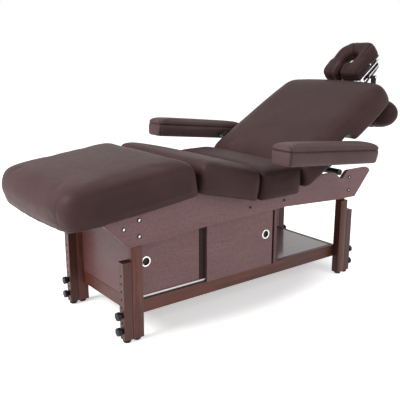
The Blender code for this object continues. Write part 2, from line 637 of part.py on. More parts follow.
def build_armrests():
    """Padded armrests on brackets at the sides of the back."""
    side = BACK_WIDTH / 2
    for label, sign, high, tilt in (("near", -1, ARM_PIVOT_N, ARMREST_TILT),
                                    ("far", 1, ARM_PIVOT_N + ARM_FAR_RISE, FAR_ARMREST_TILT)):
        pivot = on_back(ARM_PIVOT_S, 0, high)
        y = sorted((sign * (side + 0.003), sign * (side + 0.008)))
        cheek = block((ARM_PIVOT_S - 0.016, ARM_PIVOT_S + 0.016), y, (PAD_N + 0.006, high + 0.016))
        pin = cylinder(0.008, (ARM_PIVOT_S, sign * (side - ARM_STUD), high),
                       (ARM_PIVOT_S, sign * (ARM_IN_Y + 0.030), high), 16)
        bracket = combine(cheek, [pin], "UNION")
        bracket.transform(BACK_FRAME)
        add("armrest_bracket_" + label, bracket, STEEL, on_back(0, 0, 0))

        pad = cushion(ARMREST_LENGTH, ARMREST_WIDTH, ARMREST_HEIGHT - 0.004, 0.004, 0.020, 1)
        shift = Matrix.Translation((ARM_TAIL - ARMREST_LENGTH, sign * (ARM_IN_Y + ARMREST_WIDTH / 2),
                                    0.004 - ARM_PIVOT_RISE))
        turn = Matrix.Translation(pivot) @ Matrix.Rotation(tilt, 4, "Y")
        pad.transform(turn @ shift)
        ends = sorted((sign * (ARM_IN_Y - 0.01), sign * (ARM_IN_Y + 0.031)))
        bore = cylinder(0.008 + GAP, (pivot.x, ends[0], pivot.z), (pivot.x, ends[1], pivot.z), 16)
        pad = combine(pad, [bore], "DIFFERENCE")
        add("armrest_pad_" + label, pad, VINYL, (pivot.x, sign * ARM_IN_Y, pivot.z))


def build_head():
    """Sliding cradle tube and socket, tilting frame, pillow, lever and hanging bolster."""
    hinge = on_back(0, 0, 0)
    low = TUBE_N - TUBE_RADIUS - 0.005
    start = BOARD_END_S + GAP
    socket = block((start, BACK_LENGTH - 0.040), (-TUBE_Y - 0.026, TUBE_Y + 0.026), (low, PAD_N - GAP), 0.001)
    bores = []
    for y in (-TUBE_Y, TUBE_Y):
        bores.append(cylinder(TUBE_RADIUS + GAP, (start + 0.03, y, TUBE_N), (BACK_LENGTH, y, TUBE_N), 16))
    socket = combine(socket, bores, "DIFFERENCE")
    socket.transform(BACK_FRAME)
    add("cradle_socket", socket, BLACK, hinge)

    tip = BACK_LENGTH - 0.150
    bend_s = CROSS_S
    loop = [(tip, -TUBE_Y, TUBE_N), (bend_s, -TUBE_Y, TUBE_N), (bend_s, -TUBE_Y, CROSS_N),
            (bend_s, TUBE_Y, CROSS_N), (bend_s, TUBE_Y, TUBE_N), (tip, TUBE_Y, TUBE_N)]
    tube = bent_tube(loop, TUBE_RADIUS, 0.014, 2)
    axle = cylinder(TUBE_RADIUS * 0.9, (bend_s, -CROSS_Y, CROSS_N), (bend_s, CROSS_Y, CROSS_N), 12)
    tube = combine(tube, [axle], "UNION")
    tube.transform(BACK_FRAME)
    add("cradle_tube", tube, CHROME, on_back(tip, 0, TUBE_N))

    centre = on_back(CROSS_S, 0, CROSS_N)
    tilt = Matrix.Translation(centre) @ Matrix.Rotation(-BACK_ANGLE - CRADLE_TILT, 4, "Y")
    ears = TUBE_Y + TUBE_RADIUS + 0.004
    behind = -CRADLE_BEHIND
    ahead = CRADLE_AHEAD
    top = 0.040
    tray = [block((behind, ahead), (-ears - 0.006, ears + 0.006), (top - 0.007, top), 0.001)]
    holes = [block((0.002 + behind * 0.4, ahead - 0.030), (-ears * 0.55, ears * 0.55), (top - 0.02, top + 0.02))]
    for sign in (-1, 1):
        y = sorted((sign * ears, sign * (ears + 0.006)))
        tray.append(block((behind + 0.002, ahead - 0.002), y, (-0.014, top - 0.003)))
        slot = sorted((sign * (ears - 0.01), sign * (ears + 0.02)))
        for z in (0.0, 0.016):
            holes.append(block((0.020, ahead - 0.008), slot, (z + 0.003, z + 0.011)))
        holes.append(block((behind + 0.010, -0.020), slot, (0.019, 0.027)))
        holes.append(cylinder(TUBE_RADIUS * 0.9 + RUN, (0, slot[0], 0), (0, slot[1], 0), 16))
    frame = combine(combine(tray[0], tray[1:], "UNION"), holes, "DIFFERENCE")
    frame.transform(tilt)
    add("cradle_frame", frame, CHROME, centre)

    ring = face_pillow()
    ring.transform(tilt @ Matrix.Translation((PILLOW_SET, 0, top + GAP)))
    add("face_pillow", ring, VINYL, centre)

    y = ears + 0.006 + RUN
    grip = block((-0.010, 0.052), (y, y + 0.009), (-0.007, 0.005), 0.002)
    boss = cylinder(0.012, (0, y, 0), (0, y + 0.009, 0), 16)
    bore = cylinder(TUBE_RADIUS * 0.9 + GAP, (0, y - 0.01, 0), (0, y + 0.02, 0), 16)
    lever = combine(combine(boss, [grip], "UNION"), [bore], "DIFFERENCE")
    lever.transform(Matrix.Translation(centre) @ Matrix.Rotation(math.radians(40.0), 4, "Y"))
    add("cradle_lever", lever, BLACK, centre)

    low = centre.z - STRAP_DROP
    middle = BOLSTER_RADIUS - 0.001
    half = BOLSTER_LENGTH / 2
    shares = ((0.0, 0.0), (0.42, 0.06), (0.76, 0.25), (0.95, 0.57), (1.0, 1.0))
    profile = [(middle * r, BOLSTER_ROUND * h - half) for r, h in shares]
    profile[-1] = (BOLSTER_RADIUS, BOLSTER_ROUND - half)
    profile += [(r, -h) for r, h in reversed(profile)]
    lie = Matrix.Translation((centre.x, 0, low)) @ Matrix.Rotation(math.pi / 2, 4, "X")
    add("arm_bolster", lathe(profile, lie, 20), VINYL, centre)
    outer = BOLSTER_RADIUS + GAP + STRAP_THICK
    for label, sign in (("near", -1), ("far", 1)):
        y = sorted((sign * STRAP_Y, sign * (STRAP_Y - STRAP_WIDTH)))
        add("bolster_strap_" + label, strap(centre, low, outer, y), WEB, centre)


def strap(centre, low, outer, y):
    """A webbing loop over the cradle axle and round the bolster."""
    small = TUBE_RADIUS * 0.9 + GAP + STRAP_THICK
    inner_small = small - STRAP_THICK
    inner = outer - STRAP_THICK
    body = cylinder(outer, (centre.x, y[0], low), (centre.x, y[1], low), 20)
    web = block((centre.x - STRAP_THICK / 2, centre.x + STRAP_THICK / 2), y,
                (low + (inner + outer) / 2, centre.z - (inner_small + small) / 2))
    eye = cylinder(small, (centre.x, y[0], centre.z), (centre.x, y[1], centre.z), 14)
    solid = combine(body, [web, eye], "UNION")
    wide = (y[0] - 0.01, y[1] + 0.01)
    bores = [cylinder(inner, (centre.x, wide[0], low), (centre.x, wide[1], low), 20),
             cylinder(inner_small, (centre.x, wide[0], centre.z), (centre.x, wide[1], centre.z), 14)]
    return combine(solid, bores, "DIFFERENCE")


def face_pillow():
    """A horseshoe pillow, its arms toward the table, from a swept and subdivided cage."""
    inner = PILLOW_HOLE
    bm = bmesh.new()
    bmesh.ops.create_grid(bm, x_segments=1, y_segments=1, size=0.5)
    for v in bm.verts:
        v.co = Vector((-PILLOW_ARM, -inner - (v.co.x + 0.5) * (PILLOW_RADIUS - inner),
                       (v.co.y + 0.5) * PILLOW_THICK))
    tip = bm.faces[:]
    for _ in range(2):
        tip = pull_face(bm, tip, PILLOW_ARM / 2)
    around = tip + [e for f in tip for e in f.edges] + [v for f in tip for v in f.verts]
    swept = bmesh.ops.spin(bm, geom=list(set(around)), cent=(0, 0, 0), axis=(0, 0, 1),
                           angle=math.pi, steps=6)
    tip = [f for f in swept["geom_last"] if isinstance(f, bmesh.types.BMFace)]
    for _ in range(2):
        tip = pull_face(bm, tip, -PILLOW_ARM / 2)
    inside = [f for f in bm.faces if all(len(e.link_faces) > 2 for e in f.edges)]
    bmesh.ops.delete(bm, geom=inside, context="FACES_ONLY")
    crease = bm.edges.layers.float.new("crease_edge")
    for line in bm.edges:
        if all(v.co.z < 0.001 for v in line.verts):
            line[crease] = 0.5
        elif all(v.co.z > PILLOW_THICK - 0.001 for v in line.verts):
            line[crease] = 0.3
    for v in bm.verts:
        if v.co.x > 0.001 and math.hypot(v.co.x, v.co.y) > PILLOW_RADIUS * 0.9:
            square = math.sin(2 * math.atan2(v.co.y, v.co.x)) ** 2
            v.co.x *= 1 + PILLOW_SQUARE * square
            v.co.y *= 1 + PILLOW_SQUARE * square
        if v.co.x < -0.001 and abs(v.co.y) < PILLOW_RADIUS * 0.9:
            v.co.y *= 1 + PILLOW_PINCH * v.co.x / PILLOW_ARM
    mesh = from_bmesh(bm)

    def soften(obj):
        mod = obj.modifiers.new("soft", "SUBSURF")
        mod.levels = 2
        mod.render_levels = 2
    out = evaluated(mesh, soften)
    lows = [min(v.co[i] for v in out.vertices) for i in range(3)]
    highs = [max(v.co[i] for v in out.vertices) for i in range(3)]
    for v in out.vertices:
        v.co.x *= PILLOW_RADIUS / highs[0]
        v.co.y *= PILLOW_RADIUS / highs[1]
        v.co.z = (v.co.z - lows[2]) / (highs[2] - lows[2]) * PILLOW_THICK
    return out


def pull_face(bm, faces, along):
    """Extrude faces along X and return the moved copies."""
    out = bmesh.ops.extrude_face_region(bm, geom=faces)["geom"]
    bmesh.ops.translate(bm, vec=(along, 0, 0), verts=[v for v in out if isinstance(v, bmesh.types.BMVert)])
    return [f for f in out if isinstance(f, bmesh.types.BMFace)]


def centre_on_origin():
    """Move every part along X so that the whole table is centred over the origin."""
    bpy.context.view_layer.update()
    spots = []
    for obj in PARTS.objects:
        for v in obj.data.vertices:
            spots.append((obj.matrix_world @ v.co).x)
    shift = -round((min(spots) + max(spots)) / 2, 5)
    for obj in PARTS.objects:
        obj.location.x += shift


build_legs()
build_frame()
build_cabinet()
build_pads()
build_back()
build_armrests()
build_head()
centre_on_origin()
bpy.context.view_layer.update()
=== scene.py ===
"""Massage table with a lifting back: its finished pieces, finishes and studio.

The solid frame is loaded first. Every piece is modelled in that same frame, in metres,
with +X toward the head end, the cabinet doors facing -Y and +Z up.
"""

from __future__ import annotations

import json
import logging
import math
from dataclasses import dataclass, field
from enum import Enum
from typing import Any, Callable, Sequence

import bmesh
import bpy
import numpy as np
from mathutils import Matrix, Vector


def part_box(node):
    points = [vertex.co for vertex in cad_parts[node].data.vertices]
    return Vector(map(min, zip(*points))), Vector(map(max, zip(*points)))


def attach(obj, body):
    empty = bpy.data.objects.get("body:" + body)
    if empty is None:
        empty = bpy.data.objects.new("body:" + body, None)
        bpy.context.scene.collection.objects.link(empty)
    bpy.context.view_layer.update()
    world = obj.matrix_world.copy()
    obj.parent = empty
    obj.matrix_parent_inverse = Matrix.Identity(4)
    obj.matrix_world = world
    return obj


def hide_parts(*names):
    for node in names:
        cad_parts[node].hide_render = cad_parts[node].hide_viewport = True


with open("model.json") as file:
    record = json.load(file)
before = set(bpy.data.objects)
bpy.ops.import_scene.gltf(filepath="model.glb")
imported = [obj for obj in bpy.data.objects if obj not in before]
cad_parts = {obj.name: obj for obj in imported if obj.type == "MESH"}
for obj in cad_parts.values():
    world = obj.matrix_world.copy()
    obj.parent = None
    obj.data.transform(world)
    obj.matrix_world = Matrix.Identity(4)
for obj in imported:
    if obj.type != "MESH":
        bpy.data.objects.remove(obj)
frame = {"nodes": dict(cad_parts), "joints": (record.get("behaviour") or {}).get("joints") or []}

Colour = tuple[float, float, float, float]
Point = tuple[float, float, float]
Obj = bpy.types.Object
Mat = bpy.types.Material

LOG = logging.getLogger("massage_table")
MIDDLE = 0.66741             # outer face of the foot posts to the middle of the table
BACK_ANGLE = 31.0            # slope of the back at rest, in degrees
CRADLE_ANGLE = 40.5          # slope of the face pillow and its frame at rest, in degrees
CRADLE_TOP = 0.040           # top of the pillow's tray over its axle
WELD = 0.00001               # points closer than this are joined
QUARTER = math.pi / 2
SIDES = ("near", "far")
LEGS = tuple("%s_%s" % (end, side) for end in ("foot", "head") for side in SIDES)
WHITE: Colour = (1.0, 1.0, 1.0, 1.0)
BLACK: Colour = (0.0, 0.0, 0.0, 1.0)
STUFFING = {"quality": 4, "mass": 0.4, "tension_stiffness": 20.0, "compression_stiffness": 20.0,
            "shear_stiffness": 8.0, "bending_stiffness": 1.5, "use_pressure": True,
            "uniform_pressure_force": 4.0}
STUFFING_STEPS = 20          # frames over which the covers are blown out


def srgb(red: float, green: float, blue: float) -> Colour:
    """Turn a display colour into a linear one.

    Args:
        red: Red from 0 to 255.
        green: Green from 0 to 255.
        blue: Blue from 0 to 255.

    Returns:
        The linear colour with full alpha.
    """
    parts = [c / 255 for c in (red, green, blue)]
    lin = [c / 12.92 if c <= 0.04045 else ((c + 0.055) / 1.055) ** 2.4 for c in parts]
    return (lin[0], lin[1], lin[2], 1.0)


def put(thing: Any, settings: dict[str, Any]) -> None:
    """Set several properties of a node or a modifier."""
    for key, value in settings.items():
        setattr(thing, key, value)


def joint_point(name: str) -> Vector:
    """Find a point on the axis of a joint of the frame."""
    return Vector(next(j for j in frame["joints"] if j["name"] == name)["pos_m"])


def middle(node: str) -> Vector:
    """Find the middle of a solid's box."""
    low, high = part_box(node)
    return (low + high) / 2


def slope(degrees: float) -> tuple[Vector, Vector]:
    """Find the directions along and out of a surface that rises toward the head end."""
    a = math.radians(degrees)
    return Vector((math.cos(a), 0.0, math.sin(a))), Vector((-math.sin(a), 0.0, math.cos(a)))


# ---------------------------------------------------------------- shading tools


class Sock:
    """A value in a node tree that takes part in plain arithmetic."""

    def __init__(self, book: "Book", socket: bpy.types.NodeSocket) -> None:
        """Keep the socket and the tree that it belongs to."""
        self.book = book
        self.socket = socket

    def math(self, kind: str, *others: "Sock | float") -> "Sock":
        """Run a Math node on this value and others, in order."""
        inputs = dict(enumerate((self, *others)))
        return self.book.out("ShaderNodeMath", {"operation": kind}, inputs)

    def _flip(self, kind: str, other: float) -> "Sock":
        """Run a Math node with a plain number as its first operand."""
        return self.book.out("ShaderNodeMath", {"operation": kind}, {0: other, 1: self})

    def __add__(self, other: "Sock | float") -> "Sock":
        """Add."""
        return self.math("ADD", other)

    def __sub__(self, other: "Sock | float") -> "Sock":
        """Subtract."""
        return self.math("SUBTRACT", other)

    def __rsub__(self, other: float) -> "Sock":
        """Subtract from a number."""
        return self._flip("SUBTRACT", other)

    def __mul__(self, other: "Sock | float") -> "Sock":
        """Multiply."""
        return self.math("MULTIPLY", other)

    def __pow__(self, other: "Sock | float") -> "Sock":
        """Raise to a power."""
        return self.math("POWER", other)

    def __abs__(self) -> "Sock":
        """Drop the sign."""
        return self.math("ABSOLUTE")

    def ramp(self, low: float, high: float) -> "Sock":
        """Rise smoothly from 0 to 1 between two values."""
        return self.book.out("ShaderNodeMapRange", {"interpolation_type": "SMOOTHSTEP"},
                             {"Value": self, "From Min": low, "From Max": high})


class Book:
    """The nodes of one tree."""

    def __init__(self, tree: bpy.types.NodeTree) -> None:
        """Keep the tree."""
        self.tree = tree

    @staticmethod
    def _find(sockets: Any, key: Any) -> bpy.types.NodeSocket:
        """Find a socket.

        Args:
            sockets: The node's inputs or outputs.
            key: The socket's number, identifier or name.

        Returns:
            The socket.
        """
        if isinstance(key, int):
            return sockets[key]
        exact = [s for s in sockets if s.identifier == key]
        return (exact or [s for s in sockets if s.name == key and s.enabled])[0]

    def node(self, kind: str, settings: dict[str, Any], inputs: dict[Any, Any]) -> bpy.types.Node:
        """Add a node.

        Args:
            kind: The node's type.
            settings: Properties to set on it.
            inputs: Values or sockets for its inputs.

        Returns:
            The node.
        """
        node = self.tree.nodes.new(kind)
        put(node, settings)
        for key, value in inputs.items():
            socket = self._find(node.inputs, key)
            if isinstance(value, Sock):
                self.tree.links.new(value.socket, socket)
            else:
                socket.default_value = value
        return node

    def out(self, kind: str, settings: dict[str, Any], inputs: dict[Any, Any],
            port: Any = 0) -> Sock:
        """Add a node and take the output with a number, identifier or name."""
        return Sock(self, self._find(self.node(kind, settings, inputs).outputs, port))

    def seen(self) -> Sock:
        """Tell what the camera sees from plain light.

        Returns:
            1 for what is seen, straight, reflected or through a piece, and 0 for the rest.
        """
        ray = self.node("ShaderNodeLightPath", {}, {})
        camera, glossy, through = (Sock(self, ray.outputs["Is %s Ray" % kind])
                                   for kind in ("Camera", "Glossy", "Transmission"))
        return camera.math("MAXIMUM", glossy).math("MAXIMUM", through)


class Shader(Book):
    """One material with a Principled surface, and the nodes in it."""

    def __init__(self, name: str) -> None:
        """Start a material with nothing but its surface.

        Args:
            name: The material's name.
        """
        self.material = bpy.data.materials.new(name)
        self.material.use_nodes = True
        super().__init__(self.material.node_tree)
        self.bsdf = next(n for n in self.tree.nodes if n.type == "BSDF_PRINCIPLED")
        self.place = self.out("ShaderNodeTexCoord", {}, {}, "Object")

    def axes(self) -> tuple[Sock, Sock, Sock]:
        """Split the place on the piece into its three coordinates."""
        node = self.node("ShaderNodeSeparateXYZ", {}, {"Vector": self.place})
        return tuple(Sock(self, node.outputs[i]) for i in range(3))

    def stretched(self, *scale: float) -> Sock:
        """The place on the piece, scaled by axis."""
        return self.out("ShaderNodeMapping", {}, {"Vector": self.place, "Scale": scale})

    def noise(self, where: Sock, scale: float, detail: float = 2.0, rough: float = 0.5,
              twist: float = 0.0) -> Sock:
        """Add a noise pattern, with its scale per metre and its distortion."""
        return self.out("ShaderNodeTexNoise", {}, {
            "Vector": where, "Scale": scale, "Detail": detail, "Roughness": rough,
            "Distortion": twist})

    def mix(self, share: Sock | float, first: Any, second: Any) -> Sock:
        """Mix two colours or sockets, by the second one's share."""
        return self.out("ShaderNodeMix", {"data_type": "RGBA"}, {
            "Factor_Float": share, "A_Color": first, "B_Color": second}, "Result_Color")

    def bump(self, height: Sock, strength: float, depth: float, under: Sock | None = None) -> Sock:
        """Raise the surface by a height pattern.

        Args:
            height: The pattern.
            strength: How much of it shows.
            depth: Its real depth in metres.
            under: A normal to add it to.

        Returns:
            The bent normal.
        """
        inputs: dict[Any, Any] = {"Strength": strength, "Distance": depth, "Height": height}
        if under is not None:
            inputs["Normal"] = under
        return self.out("ShaderNodeBump", {}, inputs)

    def fixed(self, **values: Any) -> None:
        """Set plain values on the surface, with _ for a space in a socket's name."""
        for key, value in values.items():
            self.bsdf.inputs[key.replace("_", " ")].default_value = value

    def feed(self, **sockets: Sock) -> None:
        """Link varying values to the surface, with _ for a space in a socket's name."""
        for key, value in sockets.items():
            self.tree.links.new(value.socket, self.bsdf.inputs[key.replace("_", " ")])


# ---------------------------------------------------------------- finishes


class SeamKind(Enum):
    """The surface that cuts a cover along its seam."""

    FLAT = "flat"
    ROUND = "round"


@dataclass(frozen=True)
class Seam:
    """A sewn line, where a plane or an upright cylinder cuts a cover.

    Attributes:
        kind: Which of the two it is.
        point: A point of the plane, or of the cylinder's axis.
        normal: The plane's normal; unused for a cylinder.
        radius: The cylinder's radius.
        depth: How deep the seam draws the cover in.
        keep: Plane that limits the seam, as a point and a normal, or None.
        fade: Distance over which it fades out at that plane.
        shade: How strongly it shows: the darkness of the shade painted into its groove, and the
            depth of the groove's bump.
    """

    kind: SeamKind
    point: Point
    normal: Point = (0.0, 0.0, 1.0)
    radius: float = 0.0
    depth: float = 0.0025
    keep: tuple[Point, Point] | None = None
    fade: float = 0.012
    shade: float = 1.0

    @staticmethod
    def _height(x: Any, y: Any, z: Any, point: Point, normal: Point) -> Any:
        """Signed height over a plane, for numbers and for shader values."""
        level = sum(p * n for p, n in zip(point, normal))
        return x * normal[0] + y * normal[1] + z * normal[2] - level

    def off(self, x: Any, y: Any, z: Any) -> Any:
        """Distance from the seam, for numbers and for shader values.

        Args:
            x: X of the place.
            y: Y of the place.
            z: Z of the place.

        Returns:
            The distance in metres.
        """
        if self.kind is SeamKind.FLAT:
            return abs(self._height(x, y, z, self.point, self.normal))
        across = (x - self.point[0]) ** 2.0 + (abs(y) - self.point[1]) ** 2.0
        return abs(across ** 0.5 - self.radius)

    def inside(self, x: Any, y: Any, z: Any) -> Any | None:
        """Height over the plane that limits the seam, or None where it runs all round."""
        return None if self.keep is None else self._height(x, y, z, *self.keep)


class Finish:
    """A finish that is drawn as a material."""

    def material(self, name: str, *about: Any) -> Mat:
        """Make the material.

        Args:
            name: The material's name.
            *about: What the finish has to know of its piece, such as seams or grain.

        Returns:
            The material.
        """
        shader = Shader(name)
        self.draw(shader, *about)
        return shader.material

    def draw(self, s: Shader, *about: Any) -> None:
        """Add the finish's nodes to a material; each finish has its own."""
        raise NotImplementedError


@dataclass(frozen=True)
class Vinyl(Finish):
    """Upholstery vinyl with a fine pebble grain.

    Attributes:
        colour: The cover's colour.
        shade: Its colour in broad, darker patches.
        line: Its colour between the grains, and the colour of the shade painted into the seams.
        roughness: Its middle roughness.
        pebble: Size of a grain cell.
    """

    colour: Colour = srgb(71, 51, 51)
    shade: Colour = srgb(64, 45, 46)
    # Dark colour between the grains and of the painted shade in the seams.
    line: Colour = srgb(28, 17, 17)
    roughness: float = 0.47
    pebble: float = 0.0016

    def draw(self, s: Shader, seams: Sequence[Seam]) -> None:
        """Draw the vinyl of one cover.

        Args:
            s: The material.
            seams: The cover's sewn lines.
        """
        x, y, z = s.axes()
        broad = s.noise(s.place, 5.0, 3.0)
        soft = s.noise(s.place, 38.0, 3.0, 0.6, 0.4)
        cells = s.out("ShaderNodeTexVoronoi", {"feature": "SMOOTH_F1"}, {
            "Vector": s.place, "Scale": 1 / self.pebble, "Smoothness": 0.35}, "Distance")
        colour = s.mix(broad.ramp(0.3, 0.7), self.shade, self.colour)
        colour = s.mix(cells.ramp(0.55, 0.9) * 0.16, colour, self.line)
        normal = s.bump(cells * -1.0, 0.16, 0.0004)
        normal = s.bump(soft, 0.10, 0.0012, normal)
        # Each seam paints shade into its groove and, more faintly, into a band beside it; the
        # groove's mask also dents the bump.
        for seam in seams:
            off = seam.off(x, y, z)
            groove_and_shade = (1.0 - off.ramp(0.0, 0.0022)) * seam.shade
            fold_shade = (1.0 - off.ramp(0.001, 0.010)) * (0.35 * seam.shade ** 2)
            limit = seam.inside(x, y, z)
            if limit is not None:
                show = limit.ramp(0.0, seam.fade)
                groove_and_shade, fold_shade = groove_and_shade * show, fold_shade * show
            colour = s.mix(groove_and_shade.math("MAXIMUM", fold_shade), colour, self.line)
            normal = s.bump(groove_and_shade * -1.0, 0.5, 0.002, normal)
        s.feed(Base_Color=colour, Roughness=soft * 0.14 + (self.roughness - 0.07), Normal=normal)
        s.fixed(Specular_IOR_Level=0.08)


class Grain(Enum):
    """The axis that a board's grain runs along."""

    LONG = 0
    ACROSS = 1
    UP = 2


@dataclass(frozen=True)
class Wood(Finish):
    """Stained hardwood under a satin lacquer.

    Attributes:
        light: Colour between the pores.
        dark: Colour of the grain lines.
        roughness: Roughness of the wood under its lacquer.
        lacquer: Weight of the clear coat.
        figure: How strongly the grain shows.
        mottle: Share of an even mottle in place of the broad streaks.
        haze: Roughness of the clear coat.
    """

    light: Colour = srgb(112, 63, 51)
    dark: Colour = srgb(59, 26, 21)
    roughness: float = 0.45
    lacquer: float = 0.12
    figure: float = 1.0
    mottle: float = 0.0
    haze: float = 0.22

    def draw(self, s: Shader, grain: Grain) -> None:
        """Draw the wood of the boards whose grain runs one way.

        Args:
            s: The material.
            grain: The axis of the grain.
        """
        broad, fine = [11.0] * 3, [170.0] * 3
        broad[grain.value], fine[grain.value] = 1.3, 5.0
        drift = s.noise(s.stretched(4.0, 4.0, 4.0), 1.0, 2.0)
        figure = s.noise(s.stretched(*broad), 1.0, 4.0, 0.55, 0.7)
        rings = (figure * 34.0 + drift * 3.0).math("SINE") * 0.5 + 0.5
        pores = s.noise(s.stretched(*fine), 1.0, 3.0, 0.6)
        speck = s.noise(s.place, 110.0, 3.0, 0.65).ramp(0.30, 0.70)
        streak = (figure.ramp(0.32, 0.70) * 0.55 + rings * 0.20) * (1.0 - self.mottle)
        streak = streak + speck * (0.75 * self.mottle)
        share = (streak + pores.ramp(0.38, 0.72) * 0.25) * self.figure
        colour = s.mix(share, self.light, self.dark)
        colour = s.mix(drift.ramp(0.35, 0.75) * 0.22, colour, self.dark)
        s.feed(Base_Color=colour, Roughness=pores * 0.16 + (self.roughness - 0.08),
               Normal=s.bump(pores * 0.6 + rings * 0.15, 0.10, 0.0005))
        s.fixed(Coat_Weight=self.lacquer, Coat_Roughness=self.haze, Specular_IOR_Level=0.25)


@dataclass(frozen=True)
class Metal(Finish):
    """Plated or painted metal.

    Attributes:
        colour: Its colour.
        roughness: Its middle roughness.
        metallic: 1 for bare or plated metal, 0 for paint.
        brushed: Strength of the fine drawn lines.
    """

    colour: Colour = (0.80, 0.80, 0.82, 1.0)
    roughness: float = 0.12
    metallic: float = 1.0
    brushed: float = 0.05

    def draw(self, s: Shader) -> None:
        """Draw the metal.

        Args:
            s: The material.
        """
        cloud = s.noise(s.place, 40.0, 3.0)
        lines = s.noise(s.stretched(60.0, 900.0, 900.0), 1.0, 2.0)
        dull = tuple(c * 0.82 for c in self.colour[:3]) + (1.0,)
        s.feed(Base_Color=s.mix(cloud.ramp(0.35, 0.7), self.colour, dull),
               Roughness=cloud * 0.10 + lines * 0.06 + (self.roughness - 0.06),
               Normal=s.bump(lines, self.brushed, 0.0002))
        s.fixed(Metallic=self.metallic)


@dataclass(frozen=True)
class Moulded(Finish):
    """Moulded plastic or rubber with a fine spark texture.

    Attributes:
        colour: Its colour.
        worn: Its colour where it has been rubbed.
        roughness: Its middle roughness.
        spark: Size of the mould's texture.
    """

    colour: Colour = srgb(24, 21, 21)
    worn: Colour = srgb(38, 34, 33)
    roughness: float = 0.45
    spark: float = 0.0008

    def draw(self, s: Shader) -> None:
        """Draw the plastic or rubber.

        Args:
            s: The material.
        """
        cloud = s.noise(s.place, 60.0, 3.0)
        spark = s.noise(s.place, 1 / self.spark, 2.0)
        s.feed(Base_Color=s.mix(cloud.ramp(0.5, 0.8), self.colour, self.worn),
               Roughness=spark * 0.16 + (self.roughness - 0.08),
               Normal=s.bump(spark, 0.12, 0.0003))
        s.fixed(Specular_IOR_Level=0.2)


@dataclass(frozen=True)
class Webbing(Finish):
    """Woven strap, its ribs across the band.

    Attributes:
        colour: Its colour.
        thread: Its colour between the ribs.
        rib: Spacing of the ribs.
    """

    colour: Colour = srgb(30, 28, 28)
    thread: Colour = srgb(14, 13, 13)
    rib: float = 0.0016

    def draw(self, s: Shader) -> None:
        """Draw the weave.

        Args:
            s: The material.
        """
        x, y, z = s.axes()
        turn = 2 * math.pi / self.rib
        weft = ((x + z) * turn).math("SINE")
        warp = (y * turn * 0.8).math("SINE")
        weave = weft * warp * 0.5 + 0.5
        s.feed(Base_Color=s.mix(weave, self.thread, self.colour), Roughness=weave * 0.1 + 0.78,
               Normal=s.bump(weave, 0.5, 0.0005))
        s.fixed(Sheen_Weight=0.2)


# ---------------------------------------------------------------- modelling by hand


